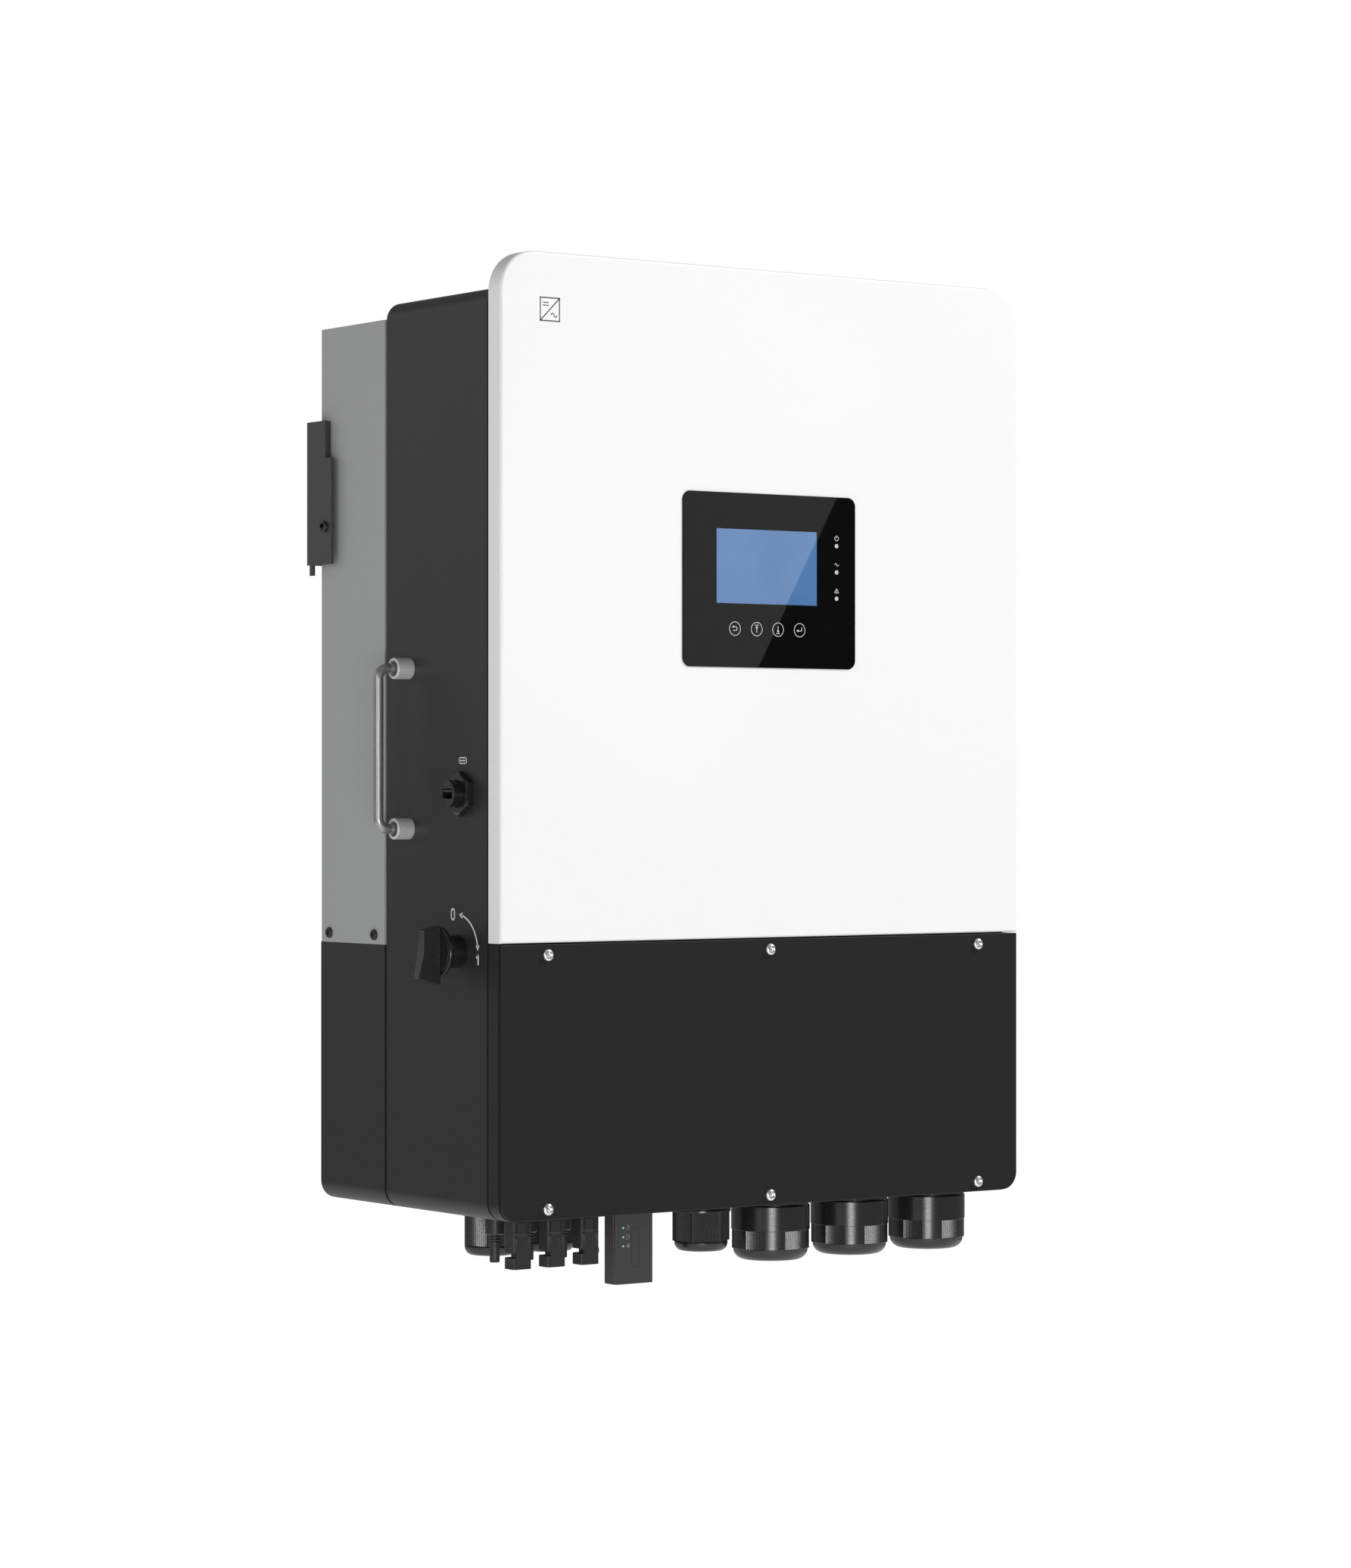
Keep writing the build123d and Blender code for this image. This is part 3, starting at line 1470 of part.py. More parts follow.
large_locknut = hex_ring(
    large_thread_radius + locknut_wall, large_thread_radius + running_gap, locknut_height
)
small_locknut = hex_ring(
    small_thread_radius + locknut_wall, small_thread_radius + running_gap, locknut_height
)
with BuildPart() as gland_locknuts:
    with Locations(*[(x, y, chassis_floor) for x, y in large_gland_places]):
        add(large_locknut)
    with Locations(*[(x, y, chassis_floor) for x, y in small_gland_places]):
        add(small_locknut)
gland_locknuts.part.label = "gland_locknuts"
export_step(gland_locknuts.part, "parts/gland_locknuts.step")

# Solar connectors: locking sockets in the front row, slim pins in the rear row
with BuildPart() as solar_socket:
    Cylinder(solar_thread_radius, solar_thread_length, align=ON_SEAT)
    Cylinder(solar_flange_radius, solar_flange_height, align=UNDER_SEAT)
    with BuildSketch(Plane.XY.offset(-solar_flange_height)):
        RectangleRounded(solar_body_width, solar_body_depth, solar_body_edge)
    extrude(amount=-(solar_body_drop - solar_flange_height))
    notch_mid = -(solar_notch_low + solar_notch_high) / 2
    with Locations(
        *[(side * solar_body_width / 2, 0, notch_mid) for side in (-1, 1)]
    ):
        Box(
            2 * solar_notch_depth,
            solar_body_depth,
            solar_notch_low - solar_notch_high,
            mode=Mode.SUBTRACT,
        )
    with Locations((0, 0, -solar_body_drop)):
        Cylinder(solar_bore_radius, solar_bore_length, align=ON_SEAT, mode=Mode.SUBTRACT)

solar_sockets = placed(solar_socket.part, socket_places, base)
solar_sockets.label = "solar_sockets"
export_step(solar_sockets, "parts/solar_sockets.step")

with BuildPart() as solar_pin:
    Cylinder(solar_thread_radius, solar_thread_length, align=ON_SEAT)
    Cylinder(solar_pin_base_radius, solar_pin_base_drop, align=UNDER_SEAT)
    fillet(solar_pin.edges().sort_by(Axis.Z)[0], solar_body_edge)
    Cylinder(solar_pin_radius, solar_pin_drop, align=UNDER_SEAT)
    with Locations((0, 0, -solar_pin_drop)):
        Cylinder(
            solar_contact_radius, solar_contact_depth, align=ON_SEAT, mode=Mode.SUBTRACT
        )

solar_pins = placed(solar_pin.part, pin_places, base)
solar_pins.label = "solar_pins"
export_step(solar_pins, "parts/solar_pins.step")

solar_nut = hex_ring(solar_nut_corner, solar_thread_radius + running_gap, solar_nut_height)
solar_nuts = placed(solar_nut, socket_places + pin_places, chassis_floor)
solar_nuts.label = "solar_nuts"
export_step(solar_nuts, "parts/solar_nuts.step")

# Data stick: flanged case under the body, its plug through the floor, two screws
with BuildPart() as stick_case:
    with BuildSketch(Plane.XY.offset(base)):
        with Locations((stick_x, stick_y)):
            RectangleRounded(stick_flange_width, stick_depth, stick_edge)
        with Locations(*stick_screw_places):
            Circle(stick_screw_radius + running_gap, mode=Mode.SUBTRACT)
    extrude(amount=-stick_flange_height)
    with BuildSketch(Plane.XY.offset(base)):
        with Locations((stick_x, stick_y)):
            RectangleRounded(stick_width, stick_depth, stick_edge)
    extrude(amount=-stick_drop)
stick_case.part.label = "stick_case"
export_step(stick_case.part, "parts/stick_case.step")

with BuildPart() as stick_plug:
    with Locations((stick_x, stick_y, base)):
        Cylinder(stick_plug_radius, stick_plug_length, align=ON_SEAT)
    fillet(stick_plug.edges().sort_by(Axis.Z)[-1], 1)
stick_plug.part.label = "stick_plug"
export_step(stick_plug.part, "parts/stick_plug.step")

stick_screw = pan_screw(
    stick_screw_head, stick_screw_head_height, stick_screw_radius, stick_screw_length
)
with BuildPart() as stick_screws:
    with Locations(
        *[Location((x, y, base - stick_flange_height), TO_BELOW) for x, y in stick_screw_places]
    ):
        add(stick_screw)
stick_screws.part.label = "stick_screws"
export_step(stick_screws.part, "parts/stick_screws.step")
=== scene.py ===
import math

import bmesh
import bpy
from mathutils import Euler, Matrix, Vector


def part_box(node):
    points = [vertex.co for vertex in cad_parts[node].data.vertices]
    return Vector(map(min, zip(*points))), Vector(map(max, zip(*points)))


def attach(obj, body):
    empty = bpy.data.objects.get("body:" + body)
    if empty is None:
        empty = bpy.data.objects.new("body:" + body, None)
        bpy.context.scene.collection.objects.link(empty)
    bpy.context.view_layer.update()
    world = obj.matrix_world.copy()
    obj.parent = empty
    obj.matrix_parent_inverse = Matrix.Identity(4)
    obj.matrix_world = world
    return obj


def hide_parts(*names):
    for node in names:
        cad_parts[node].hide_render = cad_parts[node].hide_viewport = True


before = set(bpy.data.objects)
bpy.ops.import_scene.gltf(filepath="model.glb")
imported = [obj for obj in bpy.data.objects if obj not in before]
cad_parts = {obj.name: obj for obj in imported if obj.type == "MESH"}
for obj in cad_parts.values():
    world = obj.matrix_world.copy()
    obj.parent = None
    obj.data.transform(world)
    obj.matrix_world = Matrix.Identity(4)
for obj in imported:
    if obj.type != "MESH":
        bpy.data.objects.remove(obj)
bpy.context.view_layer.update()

mm = 0.001  # shapes are drawn in millimetres, and meshes are written in metres
print("frame loaded:", len(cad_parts), "nodes")


# helpers for the nodes of a material

def newMaterial(name):
    material = bpy.data.materials.new(name)
    material.use_nodes = True
    nodes = material.node_tree.nodes
    nodes.clear()
    shader = nodes.new("ShaderNodeBsdfPrincipled")
    output = nodes.new("ShaderNodeOutputMaterial")
    material.node_tree.links.new(shader.outputs["BSDF"], output.inputs["Surface"])
    return material, shader


def addNoise(material, scale, detail=3.0, stretch=(1, 1, 1)):
    tree = material.node_tree
    place = tree.nodes.new("ShaderNodeTexCoord")
    mapping = tree.nodes.new("ShaderNodeMapping")
    mapping.inputs["Scale"].default_value = stretch
    noise = tree.nodes.new("ShaderNodeTexNoise")
    noise.inputs["Scale"].default_value = scale
    noise.inputs["Detail"].default_value = detail
    tree.links.new(place.outputs["Object"], mapping.inputs["Vector"])
    tree.links.new(mapping.outputs["Vector"], noise.inputs["Vector"])
    return noise.outputs["Fac"]


def spread(material, value, low, high, fromLow=0.3, fromHigh=0.7):
    tree = material.node_tree
    node = tree.nodes.new("ShaderNodeMapRange")
    node.inputs["From Min"].default_value = fromLow
    node.inputs["From Max"].default_value = fromHigh
    node.inputs["To Min"].default_value = low
    node.inputs["To Max"].default_value = high
    tree.links.new(value, node.inputs["Value"])
    return node.outputs["Result"]


def blendColours(material, value, first, second, fromLow=0.3, fromHigh=0.7):
    tree = material.node_tree
    ramp = tree.nodes.new("ShaderNodeValToRGB")
    ramp.color_ramp.elements[0].position = fromLow
    ramp.color_ramp.elements[0].color = (*first, 1)
    ramp.color_ramp.elements[1].position = fromHigh
    ramp.color_ramp.elements[1].color = (*second, 1)
    tree.links.new(value, ramp.inputs["Fac"])
    return ramp.outputs["Color"]


def addBump(material, shader, value, height, strength=1.0):
    tree = material.node_tree
    bump = tree.nodes.new("ShaderNodeBump")
    bump.inputs["Strength"].default_value = strength
    bump.inputs["Distance"].default_value = height
    tree.links.new(value, bump.inputs["Height"])
    tree.links.new(bump.outputs["Normal"], shader.inputs["Normal"])


# Every finish: two tones and the size of their mottling, a fine grain with its height, and the gloss
finishes = {
    "whitePaint": dict(
        slot="white_paint", tones=((0.86, 0.86, 0.86), (0.90, 0.90, 0.90)), mottle=900,
        grain=1300, grainHeight=0.00003, roughness=(0.36, 0.5), coat=0.15,
    ),
    "blackPaint": dict(
        slot="black_paint", tones=((0.015, 0.015, 0.015), (0.026, 0.026, 0.026)), mottle=1300,
        grain=1500, grainHeight=0.00008, roughness=(0.34, 0.48), specular=0.4,
    ),
    # the next two are copies of blackPaint in the same black_paint slot with darker tones, which is
    # painted shade set for how the lamps fall on each face: darkest for the front plate, between for
    # the side band; their lower specular also cuts the sheen
    "shadedBlackFront": dict(
        slot="black_paint", tones=((0.010, 0.010, 0.010), (0.015, 0.015, 0.015)), mottle=1300,
        grain=1500, grainHeight=0.00005, roughness=(0.4, 0.52), specular=0.2,
    ),
    "shadedBlackSide": dict(
        slot="black_paint", tones=((0.012, 0.012, 0.012), (0.02, 0.02, 0.02)), mottle=1300,
        grain=1500, grainHeight=0.00007, roughness=(0.36, 0.48), specular=0.3,
    ),
    "greyPaint": dict(
        slot="grey_paint", tones=((0.36, 0.365, 0.37), (0.41, 0.415, 0.42)), mottle=1300,
        grain=1500, grainHeight=0.00006, roughness=(0.42, 0.58),
    ),
    "bracketPaint": dict(
        slot="bracket_paint", tones=((0.034, 0.034, 0.034), (0.046, 0.046, 0.046)), mottle=1100,
        grain=1500, grainHeight=0.00005, roughness=(0.35, 0.5),
    ),
    "sealingRubber": dict(
        slot="sealing_rubber", tones=((0.006, 0.006, 0.006), (0.012, 0.012, 0.012)), mottle=700,
        grain=900, grainHeight=0.00005, roughness=(0.75, 0.9), specular=0.2,
    ),
    "boardLaminate": dict(
        slot="board_laminate", tones=((0.015, 0.10, 0.04), (0.03, 0.17, 0.07)), mottle=160,
        grain=600, grainHeight=0.00004, roughness=(0.3, 0.5), stretch=(1, 1, 0.12),
    ),
    "zincPlate": dict(
        slot="zinc_plate", tones=((0.72, 0.73, 0.74), (0.88, 0.88, 0.88)), mottle=500,
        grain=1200, grainHeight=0.00001, roughness=(0.18, 0.34), metallic=1.0,
    ),
    "blackScrew": dict(
        slot="black_screw", tones=((0.012, 0.012, 0.012), (0.022, 0.022, 0.022)), mottle=900,
        grain=1200, grainHeight=0.00002, roughness=(0.28, 0.42),
    ),
    "sheetSteel": dict(
        slot="sheet_steel", tones=((0.45, 0.45, 0.46), (0.62, 0.62, 0.63)), mottle=260,
        grain=900, grainHeight=0.00001, roughness=(0.3, 0.48), metallic=1.0,
    ),
    "bareAluminium": dict(
        slot="bare_aluminium", tones=((0.66, 0.66, 0.68), (0.8, 0.8, 0.81)), mottle=600,
        grain=900, grainHeight=0.00002, roughness=(0.32, 0.46), metallic=1.0,
        stretch=(1, 1, 0.04),
    ),
    "coreIron": dict(
        slot="core_iron", tones=((0.05, 0.05, 0.055), (0.12, 0.12, 0.125)), mottle=1400,
        grain=1200, grainHeight=0.0001, roughness=(0.5, 0.7), stretch=(1, 0.05, 1),
    ),
    "copperWire": dict(
        slot="copper_wire", tones=((0.24, 0.07, 0.02), (0.62, 0.26, 0.10)), mottle=900,
        grain=900, grainHeight=0.0002, roughness=(0.22, 0.4), metallic=0.8,
        stretch=(0.03, 0.03, 1),
    ),
    "fanPlastic": dict(
        slot="fan_plastic", tones=((0.012, 0.012, 0.012), (0.022, 0.022, 0.022)), mottle=700,
        grain=1100, grainHeight=0.00004, roughness=(0.42, 0.58),
    ),
    "modulePlastic": dict(
        slot="module_plastic", tones=((0.03, 0.03, 0.033), (0.055, 0.055, 0.06)), mottle=800,
        grain=1100, grainHeight=0.00006, roughness=(0.5, 0.66),
    ),
    "capacitorSleeve": dict(
        slot="capacitor_sleeve", tones=((0.016, 0.022, 0.06), (0.03, 0.04, 0.1)), mottle=300,
        grain=500, grainHeight=0.00002, roughness=(0.18, 0.3), coat=0.4,
    ),
    "terminalPlastic": dict(
        slot="terminal_plastic", tones=((0.22, 0.23, 0.24), (0.29, 0.30, 0.31)), mottle=800,
        grain=1100, grainHeight=0.00005, roughness=(0.45, 0.6),
    ),
    "terminalBrass": dict(
        slot="terminal_brass", tones=((0.58, 0.38, 0.14), (0.8, 0.6, 0.3)), mottle=500,
        grain=900, grainHeight=0.00002, roughness=(0.22, 0.38), metallic=1.0,
    ),
    "knobPlastic": dict(
        slot="knob_plastic", tones=((0.007, 0.007, 0.007), (0.013, 0.013, 0.013)), mottle=1300,
        grain=1400, grainHeight=0.00004, roughness=(0.2, 0.32), specular=0.5,
    ),
    "satinSteel": dict(
        slot="satin_steel", tones=((0.34, 0.34, 0.34), (0.44, 0.44, 0.44)), mottle=500,
        grain=1400, grainHeight=0.00002, roughness=(0.26, 0.36), metallic=0.8,
        stretch=(1, 1, 0.05),
    ),
    "collarMetal": dict(
        slot="collar_metal", tones=((0.6, 0.6, 0.6), (0.76, 0.76, 0.76)), mottle=1500,
        grain=1500, grainHeight=0.00004, roughness=(0.34, 0.46), metallic=0.4,
    ),
    "connectorNylon": dict(
        slot="connector_nylon", tones=((0.02, 0.02, 0.02), (0.032, 0.032, 0.032)), mottle=1000,
        grain=1300, grainHeight=0.00004, roughness=(0.34, 0.5), specular=0.4,
    ),
    "glandNylon": dict(
        slot="gland_nylon", tones=((0.013, 0.013, 0.013), (0.02, 0.02, 0.02)), mottle=900,
        grain=1200, grainHeight=0.00002, roughness=(0.2, 0.3), specular=0.6,
    ),
    "stickPlastic": dict(
        slot="stick_plastic", tones=((0.04, 0.04, 0.04), (0.066, 0.066, 0.066)), mottle=1500,
        grain=1700, grainHeight=0.00008, roughness=(0.45, 0.6),
    ),
    "displayGlass": dict(
        slot="display_glass", tones=((0.0012, 0.0012, 0.0013), (0.002, 0.002, 0.0022)), mottle=60,
        grain=40, grainHeight=0.0, roughness=(0.008, 0.014), specular=0.12,
    ),
    "lcdBlue": dict(
        slot="lcd_blue", tones=((0.06, 0.16, 0.37), (0.085, 0.2, 0.42)), mottle=12,
        grain=40, grainHeight=0.0, roughness=(0.008, 0.014), specular=0.45,
    ),
    "lampLens": dict(
        slot="indicator_lens", tones=((0.42, 0.52, 0.6), (0.6, 0.7, 0.78)), mottle=500,
        grain=900, grainHeight=0.00001, roughness=(0.15, 0.25),
    ),
    "greenLamp": dict(
        slot="indicator_lens", tones=((0.10, 0.42, 0.25), (0.30, 0.75, 0.5)), mottle=500,
        grain=900, grainHeight=0.00001, roughness=(0.15, 0.25), glow=0.3,
    ),
    "printWhite": dict(
        slot="white_paint", tones=((0.7, 0.7, 0.7), (0.82, 0.82, 0.82)), mottle=1500,
        grain=1500, grainHeight=0.00001, roughness=(0.5, 0.65),
    ),
    "printGreyLight": dict(
        slot="grey_paint", tones=((0.3, 0.3, 0.3), (0.38, 0.38, 0.38)), mottle=1500,
        grain=1500, grainHeight=0.00001, roughness=(0.5, 0.65),
    ),
    "printGrey": dict(
        slot="grey_paint", tones=((0.075, 0.08, 0.085), (0.10, 0.105, 0.11)), mottle=1500,
        grain=1500, grainHeight=0.00001, roughness=(0.5, 0.65),
    ),
}


def makeFinish(name):
    finish = finishes[name]
    material, shader = newMaterial(name)
    links = material.node_tree.links
    stretch = finish.get("stretch", (1, 1, 1))
    mottle = addNoise(material, finish["mottle"], 4.0, stretch)
    colour = blendColours(material, mottle, *finish["tones"])
    links.new(colour, shader.inputs["Base Color"])
    grain = addNoise(material, finish["grain"], 2.0, stretch)
    addBump(material, shader, grain, finish["grainHeight"])
    links.new(spread(material, grain, *finish["roughness"]), shader.inputs["Roughness"])
    shader.inputs["Metallic"].default_value = finish.get("metallic", 0.0)
    shader.inputs["Specular IOR Level"].default_value = finish.get("specular", 0.5)
    if "coat" in finish:
        shader.inputs["Coat Weight"].default_value = finish["coat"]
        shader.inputs["Coat Roughness"].default_value = 0.08
    if "glow" in finish:
        links.new(colour, shader.inputs["Emission Color"])
        shader.inputs["Emission Strength"].default_value = finish["glow"]
    return material


materials = {name: makeFinish(name) for name in finishes}
print("finishes made:", len(materials))


# helpers for shapes, drawn in millimetres

turns = {  # local +Z faces this way; seen from there, local X is to the right
    "top": (0, 0, 0), "below": (180, 0, 0), "front": (90, 0, 0),
    "left": (90, 0, -90), "right": (90, 0, 90), "back": (90, 0, 180),
}


def at(x, y, z, facing="top", roll=0.0):
    turn = Euler([math.radians(angle) for angle in turns[facing]]).to_matrix().to_4x4()
    return Matrix.Translation((x, y, z)) @ turn @ Matrix.Rotation(math.radians(roll), 4, "Z")


def nodeBox(node):
    low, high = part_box(node)
    return low / mm, high / mm


def put(target, shape, *places):
    # Adds a copy of one shape at each place, and uses the shape up.
    mesh = bpy.data.meshes.new("shape")
    shape.to_mesh(mesh)
    shape.free()
    for place in places:
        copy = mesh.copy()
        copy.transform(place)
        target.from_mesh(copy)
        bpy.data.meshes.remove(copy)
    bpy.data.meshes.remove(mesh)


def addPiece(name, bm, finish, stands=(), body="cabinet", sharp=35, turnOut=True):
    bmesh.ops.remove_doubles(bm, verts=bm.verts[:], dist=0.002)
    if turnOut:
        bmesh.ops.recalc_face_normals(bm, faces=bm.faces[:])
    bmesh.ops.scale(bm, vec=(mm, mm, mm), verts=bm.verts[:])
    mesh = bpy.data.meshes.new(name)
    bm.to_mesh(mesh)
    bm.free()
    mesh.shade_smooth()
    mesh.set_sharp_from_angle(angle=math.radians(sharp))
    mesh.materials.append(materials[finish])
    piece = bpy.data.objects.new(name, mesh)
    bpy.context.scene.collection.objects.link(piece)
    weighted = piece.modifiers.new("weighted normals", "WEIGHTED_NORMAL")
    weighted.keep_sharp = True
    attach(piece, body)
    if stands:
        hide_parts(*stands)
    return piece


def nodeCopy(node):
    bm = bmesh.new()
    bm.from_mesh(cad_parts[node].data)
    bmesh.ops.scale(bm, vec=(1 / mm, 1 / mm, 1 / mm), verts=bm.verts[:])
    bmesh.ops.remove_doubles(bm, verts=bm.verts[:], dist=0.004)
    flat = math.radians(0.6)
    bmesh.ops.dissolve_limit(bm, angle_limit=flat, verts=bm.verts[:], edges=bm.edges[:])
    return bm


def softenEdges(bm, width, segments=2, angle=40.0):
    edges = [
        edge for edge in bm.edges
        if len(edge.link_faces) == 2 and edge.calc_face_angle(0) > math.radians(angle)
    ]
    bmesh.ops.bevel(
        bm, geom=edges, offset=width, segments=segments, profile=0.5,
        affect="EDGES", clamp_overlap=True, material=-1,
    )


def lathe(profile, steps=48, closed=False):
    # Turns (radius, height) points about Z.
    bm = bmesh.new()
    verts = [bm.verts.new((radius, 0, height)) for radius, height in profile]
    edges = [bm.edges.new(pair) for pair in zip(verts, verts[1:])]
    if closed:
        edges.append(bm.edges.new((verts[-1], verts[0])))
    bmesh.ops.spin(
        bm, geom=verts + edges, cent=(0, 0, 0), axis=(0, 0, 1),
        angle=2 * math.pi, steps=steps, use_merge=True,
    )
    bmesh.ops.remove_doubles(bm, verts=bm.verts[:], dist=0.002)
    return bm


def arcPoints(centreRadius, centreHeight, radius, rise, fromAngle, toAngle, count):
    # Points of an elliptic arc for a lathe's profile, angles in degrees from outwards to upwards.
    points = []
    for step in range(count + 1):
        angle = math.radians(fromAngle + (toAngle - fromAngle) * step / count)
        points.append((
            centreRadius + radius * math.cos(angle), centreHeight + rise * math.sin(angle),
        ))
    return points


def block(width, depth, height, bevel=0.0, segments=2):
    # A box standing on Z = 0.
    bm = bmesh.new()
    bmesh.ops.create_cube(bm, size=1.0)
    bmesh.ops.translate(bm, vec=(0, 0, 0.5), verts=bm.verts[:])
    bmesh.ops.scale(bm, vec=(width, depth, height), verts=bm.verts[:])
    if bevel:
        bmesh.ops.bevel(
            bm, geom=bm.edges[:], offset=bevel, segments=segments, profile=0.5,
            affect="EDGES", clamp_overlap=True, material=-1,
        )
    return bm


# casings, plates and turned parts: the frame's own shape with softened edges

sheetPieces = {
    "front_cover": dict(finish="whitePaint", edge=0.5),
    # the wiring cover and frame take the darker black paint copies, which paint shade onto the lit
    # front plate and side band
    "wiring_cover": dict(finish="shadedBlackFront", edge=0.5),
    "wiring_frame": dict(finish="shadedBlackSide", edge=0.6),
    "main_chassis": dict(finish="blackPaint", edge=0.7),
    "rear_duct_cover": dict(finish="greyPaint", edge=0.7),
    "rear_lower_box": dict(finish="blackPaint", edge=0.7),
    "wall_bracket": dict(finish="bracketPaint", edge=0.5),
    "hanger_rail": dict(finish="bracketPaint", edge=0.4),
    "display_panel": dict(finish="displayGlass", edge=0.3),
    "dc_switch_collar": dict(finish="knobPlastic", edge=0.5),
    "handle_collars": dict(finish="collarMetal", edge=0.3),
    "large_gland_bodies": dict(finish="glandNylon", edge=0.6),
    "small_gland_bodies": dict(finish="glandNylon", edge=0.5),
    "cover_screws": dict(finish="zincPlate", edge=0.25),
    "rear_cover_screws": dict(finish="blackScrew", edge=0.25),
    "bracket_lock_screws": dict(finish="blackScrew", edge=0.25),
    "stick_screws": dict(finish="zincPlate", edge=0.25),
    "fan_frames": dict(finish="fanPlastic", edge=0.4),
    "usb_barrel": dict(finish="knobPlastic", edge=0.3),
    "usb_insert": dict(finish="knobPlastic", edge=0.15),
}


def makeSheetPieces():
    for node, settings in sheetPieces.items():
        bm = nodeCopy(node)
        softenEdges(bm, settings["edge"])
        addPiece(node + "_sheet", bm, settings["finish"], stands=[node], turnOut=False)
    print("sheet pieces made:", len(sheetPieces))


makeSheetPieces()

# cable gland caps: a turned nut with gripping flats and a round dome below, hanging from the underside
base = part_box("main_chassis")[0].z / mm  # underside of the body
glandTop = 5.2  # below the gland's own flange
largeCap = dict(
    places=((45.4, -220), (127.7, -220), (210, -220)), steps=288,
    nut=32.5, seat=25.05, opening=20.5, gripStart=25.6, gripEnd=40.6, gripHalf=15.0, gripDepth=0.45,
    domeTop=30.8, drop=50.3, floor=46.3,
)
smallCap = dict(
    places=((-25.3, -220, 111.5), (-183, -149, 96.0), (-128, -149, 81.0)), steps=240,
    rim=24.3, flat=21.2, corner=23.8, seat=20.05, opening=15.5, gripHalf=25.5, gripDepth=0.35,
    hexStart=7.4, hexEnd=31.0, domeTop=21.8, drop=39.0, floor=35.0,
)


def gripFlats(bm, steps, start, end, reach, flat, half, depth, turn):
    # Flattens six stretches of a turned wall and cuts fine upright ribs into them.
    for vert in bm.verts:
        radius = math.hypot(vert.co.x, vert.co.y)
        if not (start <= vert.co.z <= end and radius > flat - 1.0):
            continue
        angle = math.degrees(math.atan2(vert.co.y, vert.co.x))
        off = (angle - turn + 30) % 60 - 30
        wanted = min(reach, flat / math.cos(math.radians(off)))
        step = round(angle * steps / 360)
        if abs(off) < half and step % 2:
            wanted -= depth
        vert.co.x *= wanted / radius
        vert.co.y *= wanted / radius


def makeLargeCaps():
    cap = largeCap
    nut = cap["nut"]
    profile = [(cap["seat"], glandTop), (nut - 0.6, glandTop), (nut, glandTop + 0.6)]
    profile += [(nut, cap["gripStart"] - 0.3), (nut - 0.3, cap["gripStart"])]
    profile += [(nut - 0.3, cap["gripEnd"]), (nut - 0.5, cap["gripEnd"] + 0.3)]
    profile += [(cap["domeTop"] + 0.2, cap["gripEnd"] + 0.5)]
    profile += arcPoints(
        cap["opening"] + 1.2, cap["gripEnd"] + 0.8, cap["domeTop"] - cap["opening"] - 1.2,
        cap["drop"] - cap["gripEnd"] - 0.8, 0, 90, 10,
    )
    profile += [(cap["opening"] + 0.3, cap["drop"] - 0.2), (cap["opening"], cap["drop"] - 0.8)]
    profile += [(cap["opening"], cap["floor"]), (cap["seat"], cap["floor"])]
    shape = lathe(profile, cap["steps"], closed=True)
    flat = (nut - 0.3) * math.cos(math.radians(cap["gripHalf"]))
    gripFlats(
        shape, cap["steps"], cap["gripStart"] - 0.1, cap["gripEnd"] + 0.1, nut - 0.3, flat,
        cap["gripHalf"], cap["gripDepth"], 30,
    )
    bm = bmesh.new()
    put(bm, shape, *[at(x, y, base, "below") for x, y in cap["places"]])
    addPiece("large_gland_caps", bm, "glandNylon", stands=["large_gland_domes"], sharp=30)


def makeSmallCaps():
    cap = smallCap
    bm = bmesh.new()
    for x, y, turn in cap["places"]:
        profile = [(cap["seat"], glandTop), (cap["rim"] - 0.3, glandTop), (cap["rim"], glandTop + 0.3)]
        profile += [(cap["rim"], 6.9), (cap["rim"] - 0.3, 7.2), (cap["flat"] - 0.3, 7.25)]
        profile += [(cap["corner"], cap["hexStart"]), (cap["corner"], cap["hexEnd"])]
        profile += [(cap["domeTop"] - 1.2, cap["hexEnd"] + 0.3)]
        profile += arcPoints(
            cap["opening"] + 0.9, cap["hexEnd"] + 0.8, cap["domeTop"] - cap["opening"] - 0.9,
            cap["drop"] - cap["hexEnd"] - 0.8, 0, 90, 8,
        )
        profile += [(cap["opening"], cap["drop"] - 0.6), (cap["opening"], cap["floor"])]
        profile += [(cap["seat"], cap["floor"])]
        shape = lathe(profile, cap["steps"], closed=True)
        gripFlats(
            shape, cap["steps"], cap["hexStart"] - 0.05, cap["hexEnd"] + 0.05, cap["corner"],
            cap["flat"], cap["gripHalf"], cap["gripDepth"], 0,
        )
        put(bm, shape, at(x, y, base, "below", roll=turn))
    addPiece("small_gland_caps", bm, "glandNylon", stands=["small_gland_domes"], sharp=30)


makeLargeCaps()
makeSmallCaps()
print("gland caps made")

# solar connectors: sockets with a locking clip in front, pins behind them
solarSettings = dict(
    columns=(-210.0, -177.6, -145.2), socketBack=-222.0, pinRow=-195.0, flange=9.0, flangeHeight=3.0,
    width=17.3, depth=13.0, drop=42.3, notchTop=29.5, notchFoot=33.3, frontPlate=3.6, bore=4.4,
    windows=(
        (-7.65, -5.05, -28.6, -16.4), (5.15, 7.75, -28.6, -16.4),
        (-7.05, -5.45, -14.4, -3.6), (4.75, 6.35, -14.4, -3.6),
    # the liner is the thickness of the dark blocks that paint shade on the window floors
    ), windowDepth=3.2, shadeLiner=0.5,
    boreTop=14.3, core=5.4, pin=4.0, pinDrop=40.0, pinBase=8.5, pinBaseDrop=18.0, contact=1.6,
)


